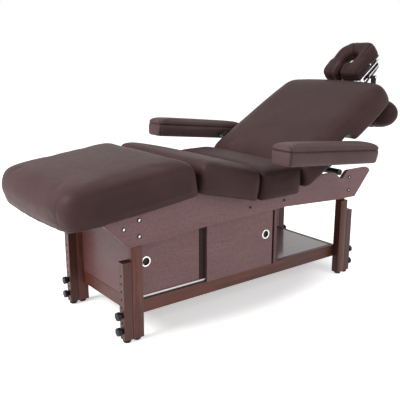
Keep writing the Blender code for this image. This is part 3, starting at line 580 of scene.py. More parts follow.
class Bench:
    """Edit-mode work on one object at a time."""

    @staticmethod
    def clear() -> None:
        """Leave edit mode and select nothing."""
        if bpy.context.object and bpy.context.object.mode != "OBJECT":
            bpy.ops.object.mode_set(mode="OBJECT")
        bpy.ops.object.select_all(action="DESELECT")

    @staticmethod
    def hold(obj: Obj) -> None:
        """Select one piece alone and make it the active one.

        Args:
            obj: The piece.
        """
        Bench.clear()
        obj.select_set(True)
        bpy.context.view_layer.objects.active = obj

    @staticmethod
    def link(name: str, data: bpy.types.ID) -> Obj:
        """Put a mesh, a curve, a lamp or a camera into the scene.

        Args:
            name: The object's name.
            data: What it shows.

        Returns:
            The object.
        """
        obj = bpy.data.objects.new(name, data)
        bpy.context.scene.collection.objects.link(obj)
        return obj

    @staticmethod
    def take(name: str) -> Obj:
        """Name the primitive that was just added and put its place in its mesh.

        Args:
            name: The piece's name.

        Returns:
            The piece.
        """
        obj = bpy.context.active_object
        obj.name = obj.data.name = name
        bpy.ops.object.transform_apply(location=True, rotation=True, scale=True)
        return obj

    @staticmethod
    def slab(name: str, low: Point, high: Point) -> Obj:
        """Add a box between two corners.

        Args:
            name: The piece's name.
            low: Its lowest corner.
            high: Its highest corner.

        Returns:
            The piece.
        """
        Bench.clear()
        place = [(a + b) / 2 for a, b in zip(low, high)]
        bpy.ops.mesh.primitive_cube_add(size=1.0, location=place,
                                        scale=[b - a for a, b in zip(low, high)])
        return Bench.take(name)

    @staticmethod
    def rod(name: str, start: Point, end: Point, radius: float, sides: int) -> Obj:
        """Add a round bar between two points.

        Args:
            name: The piece's name.
            start: One end.
            end: The other end.
            radius: Its radius.
            sides: How many sides it has.

        Returns:
            The piece.
        """
        Bench.clear()
        a, b = Vector(start), Vector(end)
        turn = (b - a).to_track_quat("Z", "Y").to_euler()
        bpy.ops.mesh.primitive_cylinder_add(vertices=sides, radius=radius, depth=(b - a).length,
                                            location=(a + b) / 2, rotation=turn)
        return Bench.take(name)

    @staticmethod
    def edit(obj: Obj, mode: str = "FACE", everything: bool = False) -> None:
        """Open a piece for modelling, with nothing or everything selected.

        Args:
            obj: The piece.
            mode: What is selected in it: VERT, EDGE or FACE.
            everything: Whether all of it is selected.
        """
        Bench.hold(obj)
        bpy.ops.object.mode_set(mode="EDIT")
        bpy.ops.mesh.select_mode(type=mode)
        bpy.ops.mesh.select_all(action="SELECT" if everything else "DESELECT")

    @staticmethod
    def close() -> None:
        """Go back to object mode."""
        bpy.ops.object.mode_set(mode="OBJECT")

    @staticmethod
    def knit(gap: float = WELD) -> None:
        """Join the points of the open piece that lie together, and turn its faces outward.

        Args:
            gap: Points closer than this are joined.
        """
        bpy.ops.mesh.select_all(action="SELECT")
        bpy.ops.mesh.remove_doubles(threshold=gap)
        bpy.ops.mesh.normals_make_consistent(inside=False)

    @staticmethod
    def extrude(x: float, y: float, z: float) -> None:
        """Pull what is selected out along a way."""
        bpy.ops.mesh.extrude_region_move(TRANSFORM_OT_translate={"value": (x, y, z)})

    @staticmethod
    def shift(x: float, y: float, z: float) -> None:
        """Move what is selected along a way."""
        bpy.ops.transform.translate(value=(x, y, z))

    @staticmethod
    def pick(obj: Obj, kind: str, test: Callable[[Vector, Vector], bool]) -> None:
        """Select parts of the open piece by their place and direction.

        Args:
            obj: The open piece.
            kind: verts, edges or faces.
            test: Takes a part's middle and its normal (an edge's direction).
        """
        bm = bmesh.from_edit_mesh(obj.data)
        bm.normal_update()
        for part in getattr(bm, kind):
            if kind == "verts":
                place, way = part.co, part.normal
            elif kind == "edges":
                place = (part.verts[0].co + part.verts[1].co) / 2
                way = (part.verts[1].co - part.verts[0].co).normalized()
            else:
                place, way = part.calc_center_median(), part.normal
            part.select_set(bool(test(place, way)))
        bm.select_flush_mode()
        bmesh.update_edit_mesh(obj.data)

    @staticmethod
    def modify(obj: Obj, kind: str, **settings: Any) -> None:
        """Add a modifier and apply it.

        Args:
            obj: The piece.
            kind: The modifier's type.
            **settings: Its settings.
        """
        Bench.hold(obj)
        mod = obj.modifiers.new("work", kind)
        put(mod, settings)
        bpy.ops.object.modifier_apply(modifier=mod.name)

    @staticmethod
    def round_off(obj: Obj, width: float, segments: int = 3,
                  angle: float = 30.0) -> None:
        """Round the edges of a piece that are sharper than an angle, and shade it smooth."""
        Bench.modify(obj, "BEVEL", width=width, segments=segments, limit_method="ANGLE",
                     angle_limit=math.radians(angle), harden_normals=False)
        Bench.smooth(obj, 45.0)

    @staticmethod
    def smooth(obj: Obj, angle: float) -> None:
        """Shade a piece smooth, but for edges sharper than an angle in degrees."""
        Bench.hold(obj)
        bpy.ops.object.shade_smooth_by_angle(angle=math.radians(angle))

    @staticmethod
    def merged_copy(node: str, name: str) -> Obj:
        """Copy a solid of the frame into a piece of its own, with its triangles joined.

        Args:
            node: The solid's name.
            name: The piece's name.

        Returns:
            The piece.
        """
        mesh = frame["nodes"][node].data.copy()
        mesh.name = name
        mesh.materials.clear()
        obj = Bench.link(name, mesh)
        Bench.edit(obj, "VERT")
        if "custom_normal" in mesh.attributes:
            bpy.ops.mesh.customdata_custom_splitnormals_clear()
        Bench.knit(0.00002)
        Bench.close()
        return obj

    @staticmethod
    def twin(obj: Obj, name: str, place: Matrix) -> Obj:
        """Copy a piece with its own mesh.

        Args:
            obj: The piece.
            name: The copy's name.
            place: Where the copy goes.

        Returns:
            The copy.
        """
        copy = Bench.link(name, obj.data.copy())
        copy.data.name = name
        copy.data.transform(place)
        return copy

    @staticmethod
    def join(pieces: Sequence[Obj], name: str) -> Obj:
        """Join pieces into one.

        Args:
            pieces: What is joined.
            name: The joined piece's name.

        Returns:
            The joined piece.
        """
        Bench.hold(pieces[0])
        for piece in pieces:
            piece.select_set(True)
        bpy.ops.object.join()
        pieces[0].name = pieces[0].data.name = name
        return pieces[0]

    @staticmethod
    def turned(name: str, profile: Sequence[tuple[float, float]], steps: int) -> Obj:
        """Turn a profile about the X axis.

        Args:
            name: The piece's name.
            profile: Its points, as a distance along the axis and a radius.
            steps: Steps of the turn.

        Returns:
            The piece.
        """
        Bench.clear()
        bpy.ops.mesh.primitive_plane_add(size=0.01)
        obj = Bench.take(name)
        Bench.edit(obj, "VERT", True)
        bpy.ops.mesh.merge(type="CENTER")
        Bench.shift(profile[0][0], 0.0, profile[0][1])
        for here, there in zip(profile, profile[1:]):
            step = (there[0] - here[0], 0.0, there[1] - here[1])
            bpy.ops.mesh.extrude_vertices_move(TRANSFORM_OT_translate={"value": step})
        bpy.ops.mesh.select_all(action="SELECT")
        bpy.ops.mesh.spin(steps=steps, angle=2 * math.pi, center=(0, 0, 0), axis=(1, 0, 0))
        Bench.knit()
        Bench.close()
        return obj

    @staticmethod
    def wire(name: str, path: Sequence[Any], closed: bool, radius: float = 0.0) -> Obj:
        """Lay a line or a round bar through points.

        Args:
            name: The piece's name.
            path: The points.
            closed: Whether it runs back to its start.
            radius: The bar's radius, or 0 for a bare line.

        Returns:
            The piece.
        """
        curve = bpy.data.curves.new(name, "CURVE")
        put(curve, {"dimensions": "3D", "bevel_depth": radius, "bevel_resolution": 6,
                    "use_fill_caps": True})
        line = curve.splines.new("POLY")
        line.points.add(len(path) - 1)
        line.use_cyclic_u = closed
        for spot, point in zip(line.points, path):
            spot.co = (*point, 1.0)
        Bench.hold(Bench.link(name, curve))
        bpy.ops.object.convert(target="MESH")
        return bpy.context.active_object

    @staticmethod
    def bent_rod(name: str, points: Sequence[Vector], radius: float, bend: float) -> Obj:
        """Bend a round bar through corner points.

        Args:
            name: The piece's name.
            points: Its ends and corners.
            radius: The bar's radius.
            bend: Radius of each corner.

        Returns:
            The piece.
        """
        steps = 8
        path: list[Vector] = [points[0]]
        for before, here, after in zip(points, points[1:], points[2:]):
            a, b = (before - here).normalized(), (after - here).normalized()
            for t in (i / steps for i in range(steps + 1)):
                path.append(here + a * bend * (1 - t) ** 2 + b * bend * t ** 2)
        path.append(points[-1])
        obj = Bench.wire(name, path, False, radius)
        Bench.edit(obj, "VERT")
        Bench.knit()
        Bench.close()
        Bench.smooth(obj, 40.0)
        obj.name = obj.data.name = name
        return obj


def fit(obj: Obj, body: str, material: Mat,
        stands_for: Sequence[str] = ()) -> None:
    """Finish a piece: its material, its body and what it stands for.

    Args:
        obj: The piece.
        body: The body that it rides on.
        material: Its finish, where it has none yet.
        stands_for: Solids of the frame that it takes the place of.
    """
    if not obj.data.materials:
        obj.data.materials.append(material)
    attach(obj, body)
    if stands_for:
        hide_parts(*stands_for)
    LOG.info("%s rides on %s with %d faces", obj.name, body, len(obj.data.polygons))


def dress(node: str, material: Mat, edge: float = 0.0, angle: float = 40.0) -> None:
    """Give a solid of the frame its finish, and eased edges where they have a width.

    Args:
        node: The solid.
        material: Its finish.
        edge: Width of its eased edges.
        angle: Least angle of an edge that is eased, in degrees.
    """
    obj = frame["nodes"][node]
    obj.data.materials.clear()
    obj.data.materials.append(material)
    if edge > 0.0:
        obj.modifiers.new("join", "WELD").merge_threshold = WELD
        put(obj.modifiers.new("eased", "BEVEL"), {
            "width": edge, "segments": 2, "limit_method": "ANGLE",
            "angle_limit": math.radians(angle), "harden_normals": True})
    LOG.info("%s keeps its solid", node)


# ---------------------------------------------------------------- upholstery


@dataclass
class Pad:
    """One upholstered pad, puffed up from its solid.

    Attributes:
        node: The solid that it takes the place of.
        body: The body that it rides on.
        voxel: Size of its working mesh.
        fill: How tight it is stuffed; not used.
        cap: How far its cover may move as it is stuffed.
        under: Direction of its flat underside.
        seams: Its sewn lines.
        smoothing: Passes that even out its working mesh.
        swell: How far the cover stands out over the solid.
        rim: Height of the crisp edge along its underside.
        crisp: How far that edge is drawn out.
        stitch: Half the width of the valley that a seam draws.
        obj: The cover, once it is modelled.
        before: The cover's points before it is stuffed.
    """

    node: str
    body: str
    voxel: float = 0.008
    fill: float = 0.85
    cap: float = 0.003
    under: Point = (0.0, 0.0, -1.0)
    seams: tuple[Seam, ...] = ()
    smoothing: int = 3
    swell: float = 0.0022
    rim: float = 0.012
    crisp: float = 0.0
    stitch: float = 0.0045
    obj: Obj | None = field(default=None, init=False)
    before: np.ndarray | None = field(default=None, init=False)

    def shape(self) -> Obj:
        """Model the cover's form, here a copy of the solid."""
        return Bench.merged_copy(self.node, self.node + "_cover")

    def rough(self) -> None:
        """Model the cover, mesh it evenly and draw it full over its foam."""
        self.obj = obj = self.shape()
        obj.data.remesh_voxel_size = self.voxel
        self.level(1)
        Bench.hold(obj)
        bpy.ops.object.voxel_remesh()
        self.level(-1)
        self.even_out(self.smoothing)
        under = Vector(self.under)
        Bench.edit(obj, "VERT")
        Bench.pick(obj, "verts", lambda co, n: n.dot(under) < 0.4)
        bpy.ops.transform.shrink_fatten(value=self.swell)
        Bench.close()
        self.even_out(1)

    def level(self, sign: int) -> None:
        """Lay the cover level so that its working mesh follows its edges, or set it back.

        Args:
            sign: 1 to lay it level, -1 to set it back.
        """
        lean = math.atan2(self.under[0], -self.under[2])
        Bench.edit(self.obj, "VERT", True)
        bpy.ops.transform.rotate(value=-sign * lean, orient_axis="Y",
                                 center_override=(0.0, 0.0, 0.0))
        Bench.close()

    def even_out(self, passes: int) -> None:
        """Smooth the cover, but for the crisp edge along its underside.

        Args:
            passes: How often it is smoothed.
        """
        under, edge = Vector(self.under), self._edge()
        Bench.edit(self.obj, "VERT")
        Bench.pick(self.obj, "verts", lambda co, n: co.dot(under) < edge)
        bpy.ops.mesh.vertices_smooth(factor=0.5, repeat=passes)
        bpy.ops.mesh.select_all(action="SELECT")
        bpy.ops.mesh.vertices_smooth(factor=0.5, repeat=2 if self.rim > 0.0 else 1)
        Bench.close()

    def tuck(self) -> None:
        """Draw the edge along the underside out again, tight over its board."""
        under, edge = Vector(self.under), self._edge()
        Bench.edit(self.obj, "VERT")
        Bench.pick(self.obj, "verts",
                   lambda co, n: co.dot(under) > edge and 0.05 < n.dot(under) < 0.93)
        bpy.ops.transform.shrink_fatten(value=self.crisp)
        bpy.ops.mesh.vertices_smooth(factor=0.5, repeat=2)
        Bench.close()

    def _edge(self) -> float:
        """Depth at which the crisp edge along the underside starts."""
        under = Vector(self.under)
        return max(v.co.dot(under) for v in self.obj.data.vertices) - self.rim

    def _read(self, what: str) -> np.ndarray:
        """Read a vector of each of the cover's vertices.

        Args:
            what: Which one: co or normal.

        Returns:
            The vectors, as rows.
        """
        flat = np.zeros(len(self.obj.data.vertices) * 3, np.float32)
        self.obj.data.vertices.foreach_get(what, flat)
        return flat.reshape(-1, 3).astype(float)

    def _place(self, points: np.ndarray) -> None:
        """Move the cover's vertices to new places."""
        self.obj.data.vertices.foreach_set("co", points.astype(np.float32).ravel())

    def stuff(self) -> None:
        """Set the cover up to be blown out against its seams and its flat underside."""
        obj, under = self.obj, Vector(self.under)
        group = obj.vertex_groups.new(name="board")
        held = [v.index for v in obj.data.vertices if v.normal.dot(under) > 0.6]
        group.add(held, 1.0, "REPLACE")
        self.before = self._read("co")
        mod = obj.modifiers.new("stuffing", "CLOTH")
        put(mod.settings, STUFFING)
        mod.settings.vertex_group_mass = group.name
        mod.settings.effector_weights.gravity = 0.0
        mod.point_cache.frame_start, mod.point_cache.frame_end = 1, STUFFING_STEPS

    def settle(self) -> None:
        """Keep the blown cover, within its cap."""
        Bench.hold(self.obj)
        bpy.ops.object.modifier_apply(modifier="stuffing")
        moved = self._read("co") - self.before
        reach = np.linalg.norm(moved, axis=1, keepdims=True)
        moved *= np.minimum(1.0, self.cap / np.maximum(reach, 1e-9))
        self._place(self.before + moved)
        self.obj.vertex_groups.clear()
        self.even_out(2)

    def sew(self, finish: Vinyl) -> None:
        """Refine the cover, draw its seams in and dress it.

        Args:
            finish: The cover's finish.
        """
        obj = self.obj
        if self.crisp > 0.0:
            self.tuck()
        Bench.modify(obj, "SUBSURF", levels=1, render_levels=1)
        points = self._read("co")
        depth = np.zeros(len(points))
        for seam in self.seams:
            draw = seam.depth * np.exp(-((seam.off(*points.T) / self.stitch) ** 2))
            limit = seam.inside(*points.T)
            if limit is not None:
                draw = draw * np.clip(limit / seam.fade, 0.0, 1.0)
            depth = np.maximum(depth, draw)
        self._place(points - self._read("normal") * depth[:, None])
        obj.data.update()
        Bench.hold(obj)
        bpy.ops.object.shade_smooth()
        vinyl = finish.material(self.node + "_vinyl", self.seams)
        fit(obj, self.body, vinyl, [self.node])


@dataclass
class FacePillow(Pad):
    """The face pillow: its arms are fuller than the solid's and close on each other.

    Attributes:
        centre: Middle of its ring, under the pillow.
        ahead: Direction from its arms to its ring.
        up: Direction out of its top.
        fullness: How far its inner walls stand into the hole.
        longer: How much its arms are drawn out.
        mouth: How far behind the middle the arms close on each other.
        tips: How far behind the middle the ends of the arms start.
        neck: How far behind the middle the arms' outer walls start.
    """

    centre: Vector = field(default_factory=Vector)
    ahead: Vector = field(default_factory=Vector)
    up: Vector = field(default_factory=Vector)
    fullness: float = 0.013
    longer: float = 0.004
    mouth: float = 0.055
    tips: float = 0.100
    neck: float = 0.03

    def shape(self) -> Obj:
        """Fill out the inner walls of the solid's copy and draw its arms out.

        Returns:
            The cover.
        """
        obj = super().shape()
        Bench.edit(obj, "VERT")

        def along(co: Vector) -> float:
            """Distance from the middle toward the ring."""
            return (co - self.centre).dot(self.ahead)

        def inner(co: Vector, way: Vector) -> bool:
            """Tell a point of the walls that face the hole."""
            out = self.ahead * max(along(co), 0.0) + Vector((0.0, co.y - self.centre.y, 0.0))
            return way.dot(out.normalized()) < -0.25

        def fatten(share: float, test: Callable[[Vector, Vector], bool]) -> None:
            """Draw some of the walls out by a share of the fullness."""
            Bench.pick(obj, "verts", test)
            bpy.ops.transform.shrink_fatten(value=self.fullness * share)

        fatten(0.10, inner)
        fatten(1.25, lambda co, n: inner(co, n) and along(co) < -self.mouth)
        Bench.pick(obj, "verts", lambda co, n: along(co) < -self.tips)
        Bench.shift(*(self.ahead * -self.longer - self.up * (self.longer * 0.4)))
        fatten(0.4, lambda co, n: along(co) < -self.neck and n.y * co.y > 0.03)
        Bench.close()
        return obj


@dataclass
class Roll(Pad):
    """The arm bolster, a long roll across the table.

    Attributes:
        round_end: Length of each rounded end.
    """

    round_end: float = 0.105

    def shape(self) -> Obj:
        """Turn the roll with its rounded ends.

        Returns:
            The cover.
        """
        low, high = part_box(self.node)
        half, radius = (high.y - low.y) / 2, (high.z - low.z) / 2
        turns = [math.radians(i * 7.5) for i in range(13)]
        cap = [(-half + self.round_end * (1 - math.cos(t)), radius * math.sin(t) ** 0.8)
               for t in turns]
        profile = cap + [(-half * 0.30, radius), (half * 0.30, radius)]
        profile += [(-s, r) for s, r in reversed(cap)]
        obj = Bench.turned(self.node + "_cover", profile, 64)
        obj.data.transform(Matrix.Translation((low + high) / 2) @ Matrix.Rotation(QUARTER, 4, "Z"))
        return obj


@dataclass
class Upholstery:
    """All the padded pieces of the table.

    Attributes:
        corner: Radius of the leg pad's corner seams.
        corner_reach: How far along the leg pad they run.
        arm_seam: Height of the armrests' seam under their tops.
        arm_corner: Distance of their corner seam from their front ends.
        arm_side: How far in from their sides the corner seam ends.
        arm_height: Height of an armrest.
        arm_rise: Height of its pivot over its underside.
        arm_tilts: Slopes of the near and the far armrest at rest, in degrees.
        leg_slope: Slope of the leg pad, in degrees.
        pillow_set: Distance of the pillow's middle ahead of its axle.
        pillow_seams: Places of its cross seams across the table, and their turns in degrees.
        pillow_rim: Height of its rim's seam over its tray.
        roll_seam: Distance of the bolster's ring seams from its ends.
        finish: The covers' finish.
        lit_arm_vinyl: The armrests' finish, a lighter copy of the covers' vinyl that paints extra
            light on them.
        shaded_vinyl: The finish of the seat, the bolster and the face pillow, a darker copy of the
            covers' vinyl that paints shade on them.
    """

    corner: float = 0.080
    corner_reach: float = 0.105
    arm_seam: float = 0.024
    arm_corner: float = 0.012
    arm_side: float = 0.030
    arm_height: float = 0.088
    arm_rise: float = 0.0238
    arm_tilts: tuple[float, float] = (4.6, 6.2)
    leg_slope: float = 6.9
    pillow_set: float = 0.048
    pillow_seams: tuple[tuple[float, float], ...] = ((-0.077, 0.0), (-0.009, 26.0), (0.077, 0.0))
    pillow_rim: float = 0.031
    roll_seam: float = 0.085
    finish: Vinyl = Vinyl()
    # A lighter copy of the covers' vinyl that paints extra light on the armrests.
    lit_arm_vinyl: Vinyl = Vinyl(srgb(95, 76, 76), srgb(85, 66, 67))
    # A darker copy of the covers' vinyl that paints shade on the seat, the bolster and the face
    # pillow.
    shaded_vinyl: Vinyl = Vinyl(srgb(63, 42, 43), srgb(56, 37, 38))

    def pads(self) -> list[Pad]:
        """List the pads with their seams.

        Returns:
            The pads, in the order in which they are built.
        """
        low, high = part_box("leg_pad")
        over = ((low.x + self.corner_reach, 0.0, 0.0), (-1.0, 0.0, 0.0))
        nose = Seam(SeamKind.ROUND, (low.x, high.y, 0.0), radius=self.corner, depth=0.0008,
                    keep=over, fade=0.085, shade=0.5)
        return [
            Pad("leg_pad", "base", under=self._lean(self.leg_slope, -1), seams=(nose,), cap=0.005,
                smoothing=16, swell=0.0085, crisp=0.0080),
            Pad("knee_pad", "base"),
            Pad("seat_pad", "base"),
            Pad("back_pad", "back", under=self._lean(BACK_ANGLE, -1), cap=0.004, smoothing=14,
                swell=0.0078),
            *(self._armrest(side, tilt) for side, tilt in zip(SIDES, self.arm_tilts)),
            self._pillow(),
            Roll("arm_bolster", "bolster", voxel=0.006, fill=0.9, seams=self._roll_seams(),
                 smoothing=1, swell=0.001, rim=0.0)]

    @staticmethod
    def _lean(degrees: float, sign: int) -> Point:
        """Up or down of a piece that leans back by an angle."""
        a = math.radians(degrees)
        return (-math.sin(a) * sign, 0.0, math.cos(a) * sign)

    def _armrest(self, side: str, tilt: float) -> Pad:
        """One armrest with the seam round it and the one at its corner.

        Args:
            side: Which of the two.
            tilt: Its slope at rest, in degrees.

        Returns:
            The pad.
        """
        up = self._lean(-tilt, 1)
        lift = self.arm_height - self.arm_rise - self.arm_seam
        seam = joint_point("armrest_level_" + side) + Vector(up) * lift
        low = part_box("armrest_pad_" + side)[0]
        corner = Seam(SeamKind.FLAT, (low.x + self.arm_corner, 0.0, 0.0), (1.0, 0.0, 0.0),
                      depth=0.0015, keep=((0.0, low.y + self.arm_side, 0.0), (0.0, -1.0, 0.0)),
                      fade=0.020, shade=0.8)
        return Pad("armrest_pad_" + side, "armrest_" + side, voxel=0.005, fill=0.9, cap=0.004,
                   under=self._lean(-tilt, -1), smoothing=2, rim=0.0,
                   seams=(Seam(SeamKind.FLAT, tuple(seam), up, depth=0.003), corner))

    def _pillow(self) -> FacePillow:
        """The face pillow with its cross seams.

        Returns:
            The pillow.
        """
        ahead, up = slope(CRADLE_ANGLE)
        centre = joint_point("cradle_tilt") + ahead * self.pillow_set
        seams = []
        for y, degrees in self.pillow_seams:
            t = math.radians(degrees)
            way = ahead * math.cos(t) + Vector((0, math.sin(t), 0))
            normal = ahead * -math.sin(t) + Vector((0, math.cos(t), 0))
            start = centre + Vector((0.0, y, 0.0)) - way * 0.03
            seams.append(Seam(SeamKind.FLAT, tuple(start), tuple(normal), depth=0.0022,
                              keep=(tuple(start), tuple(way))))
        rim = centre + up * (CRADLE_TOP + self.pillow_rim)
        seams.append(Seam(SeamKind.FLAT, tuple(rim), tuple(up), depth=0.0012))
        return FacePillow("face_pillow", "cradle", voxel=0.004, fill=0.7, cap=0.002,
                          under=tuple(-up), seams=tuple(seams), smoothing=1, swell=0.001, rim=0.0,
                          centre=centre, ahead=ahead, up=up)

    def _roll_seams(self) -> tuple[Seam, ...]:
        """The ring seams at the bolster's ends."""
        low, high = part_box("arm_bolster")
        return tuple(Seam(SeamKind.FLAT, (0.0, y, 0.0), (0.0, 1.0, 0.0), depth=0.002)
                     for y in (low.y + self.roll_seam, high.y - self.roll_seam))

    def build(self) -> None:
        """Model, stuff, sew and dress every pad."""
        pads = self.pads()
        for pad in pads:
            pad.rough()
        for pad in pads:
            pad.stuff()
        for step in range(1, STUFFING_STEPS + 1):
            bpy.context.scene.frame_set(step)
        for pad in pads:
            pad.settle()
        bpy.context.scene.frame_set(1)
        for pad in pads:
            pad.sew(self.cover(pad.node))

    def cover(self, node: str) -> Vinyl:
        """Choose the finish of a pad's cover.

        Args:
            node: The pad's solid.

        Returns:
            The finish.
        """
        # The armrests get the lighter copy of the vinyl, painted light.
        if node.startswith("armrest"):
            return self.lit_arm_vinyl
        # The seat, the bolster and the face pillow get the darker copy of the vinyl, painted
        # shade.
        dim = node in ("seat_pad", "face_pillow", "arm_bolster")
        return self.shaded_vinyl if dim else self.finish


# ---------------------------------------------------------------- woodwork


@dataclass
class Woodwork:
    """Posts, rails, panels, doors and boards, which keep their solids' shapes.

    Attributes:
        round_edge: Width of the eased edges.
        post_edge: Width of the posts' rounded edges.
        post_end: Height at which the posts end over the floor, on their glides.
        solid: Finish of the posts and rails.
        board: Finish of the veneered panels and doors.
        end: Finish of the boards across the cabinet, a darker copy of the panels' veneer that
            paints shade on them.
        shelf: Finish of the shelf.
        shaded_sleeve: Finish of the legs' sliding extensions, a darker copy of the posts' wood
            that paints shade on them.
        under: Finish of the back's board.
    """

    round_edge: float = 0.0014
    post_edge: float = 0.0012
    post_end: float = 0.0105
    solid: Wood = Wood()
    board: Wood = Wood(srgb(128, 96, 97), srgb(97, 64, 65), lacquer=0.10, figure=0.9, mottle=0.65)
    # A darker copy of the panels' veneer that paints shade on the boards across the cabinet.
    end: Wood = Wood(srgb(107, 71, 70), srgb(80, 46, 46), lacquer=0.10, figure=0.9, mottle=0.65)
    shelf: Wood = Wood(srgb(124, 92, 93), srgb(94, 61, 62), lacquer=1.0, figure=0.9, mottle=0.65,
                       haze=0.12)
    # A darker copy of the posts' wood that paints shade on the legs' extensions.
    shaded_sleeve: Wood = Wood(srgb(88, 49, 42), srgb(43, 20, 17))
    under: Wood = Wood(srgb(58, 40, 36), srgb(36, 24, 22), roughness=0.6, lacquer=0.0)

    def build(self) -> None:
        """Dress every wooden solid with the grain along its length."""
        finishes = {
            "post_wood": (self.shaded_sleeve, Grain.UP, ["leg_extension_" + leg for leg in LEGS]),
            "rail_wood": (self.solid, Grain.LONG, ["long_rail_near", "long_rail_far"]),
            "end_rail_wood": (self.solid, Grain.ACROSS, ["end_rail_foot", "end_rail_head",
                                                         "foot_stretcher", "seat_stretcher"]),
            "panel_veneer": (self.board, Grain.LONG, ["side_panel_near", "side_panel_far",
                                                      "door_left", "door_right",
                                                      "cabinet_far_panel"]),
            "shelf_veneer": (self.shelf, Grain.LONG, ["shelf_board"]),
            "end_veneer": (self.end, Grain.ACROSS, ["cabinet_foot_panel", "cabinet_divider"]),
            "back_ply": (self.under, Grain.LONG, ["back_board"]),
        }
        for name, (finish, grain, nodes) in finishes.items():
            material = finish.material(name, grain)
            for node in nodes:
                dress(node, material, self.round_edge)
        material = self.solid.material("leg_post_wood", Grain.UP)
        for leg in LEGS:
            self.post("leg_post_" + leg, material)

    def post(self, node: str, material: Mat) -> None:
        """Model a post, which ends above its glide.

        Args:
            node: Its solid.
            material: Its finish.
        """
        obj = Bench.merged_copy(node, node + "_wood")
        Bench.edit(obj, "VERT")
        Bench.pick(obj, "verts", lambda co, n: co.z < 0.004)
        Bench.shift(0.0, 0.0, self.post_end)
        Bench.close()
        Bench.round_off(obj, self.post_edge, 2)
        fit(obj, "base", material, [node])


# ---------------------------------------------------------------- legs


@dataclass
class LegFittings:
    """Glides under the legs and the clamp knobs on the extensions.

    Attributes:
        glide_radius: Radius of a glide.
        glide_height: Its height.
        knob_radius: Radius of a knob's head.
        knob_reach: How far a knob stands off its leg.
        collar: Where the knob's head starts off the leg.
        lobes: Grip lobes round a knob.
        waist: Depth of the valleys between them, as a share of the radius.
        edge: Width of the rounded edges of both.
        plastic: Finish of the knobs.
        rubber: Finish of the glides.
    """

    glide_radius: float = 0.0165
    glide_height: float = 0.0118
    knob_radius: float = 0.0165
    knob_reach: float = 0.024
    collar: float = 0.0095
    lobes: int = 8
    waist: float = 0.87
    edge: tuple[float, float] = (0.0012, 0.0011)
    plastic: Moulded = Moulded()
    rubber: Moulded = Moulded(srgb(24, 20, 19), srgb(40, 34, 32), 0.7, 0.0012)

    def build(self) -> None:
        """Model one glide and one knob, and copy them to every leg."""
        plastic = self.plastic.material("knob_plastic")
        rubber = self.rubber.material("glide_rubber")
        glide, knob = self.glide(), self.knob()
        for leg in LEGS:
            for name, node, body, solids in (
                    ("glide_", "leg_foot_", "leg_" + leg, ["leg_foot_" + leg]),
                    ("post_glide_", "leg_post_", "base", [])):
                spot = middle(node + leg)
                place = Matrix.Translation((spot.x, spot.y, 0.0))
                fit(Bench.twin(glide, name + leg, place), body, rubber, solids)
            head = leg.startswith("head")
            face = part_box("leg_extension_" + leg)[1 if head else 0].x
            turn = Matrix.Identity(4) if head else Matrix.Rotation(math.pi, 4, "Z")
            for label in (leg + "_upper", leg + "_lower"):
                joint = joint_point("knob_turn_" + label)
                place = Matrix.Translation((face, joint.y, joint.z)) @ turn
                fit(Bench.twin(knob, "leg_knob_%s_grip" % label, place), "knob_" + label,
                    plastic, ["leg_knob_" + label])
        for model in (glide, knob):
            bpy.data.objects.remove(model)

    def glide(self) -> Obj:
        """Model a round glide with a domed foot.

        Returns:
            The glide.
        """
        r, h = self.glide_radius, self.glide_height
        obj = Bench.rod("glide", (0, 0, 0), (0, 0, h), r, 40)
        Bench.edit(obj)
        Bench.pick(obj, "faces", lambda co, n: n.z < -0.9)
        bpy.ops.mesh.inset(thickness=r * 0.22)
        Bench.pick(obj, "edges", lambda co, d: co.z < 0.0001 and math.hypot(co.x, co.y) > r * 0.9)
        Bench.shift(0.0, 0.0, h * 0.35)
        Bench.pick(obj, "faces", lambda co, n: n.z > 0.9)
        bpy.ops.mesh.inset(thickness=r * 0.12)
        Bench.close()
        Bench.round_off(obj, self.edge[0], 3, 20.0)
        return obj

    def knob(self) -> Obj:
        """Model a lobed hand knob on its collar, along +X from the leg's face.

        Returns:
            The knob.
        """
        r, far = self.knob_radius, self.knob_reach
        head = Bench.rod("knob", (self.collar, 0, 0), (far - 0.001, 0, 0), r, self.lobes * 6)
        Bench.edit(head, "EDGE")
        share = 2 * math.pi / self.lobes

        def valley(co: Vector, way: Vector) -> bool:
            """Tell an edge that lies in a valley between two lobes."""
            angle = math.atan2(co.z, co.y) / share
            return abs(way.x) > 0.9 and abs(angle - round(angle)) < 0.13

        Bench.pick(head, "edges", valley)
        bpy.ops.transform.resize(value=(1.0, self.waist, self.waist),
                                 center_override=(0.0, 0.0, 0.0))
        Bench.pick(head, "faces", lambda co, n: n.x > 0.9)
        for inset, rise in ((0.20, 0.0010), (0.28, -0.0018)):
            bpy.ops.mesh.inset(thickness=r * inset)
            Bench.shift(rise, 0.0, 0.0)
        Bench.pick(head, "faces", lambda co, n: n.x < -0.9)
        bpy.ops.mesh.inset(thickness=r * 0.30)
        Bench.extrude(-0.0091, 0.0, 0.0)
        Bench.close()
        Bench.round_off(head, self.edge[1], 3, 24.0)
        return head


# ---------------------------------------------------------------- cabinet


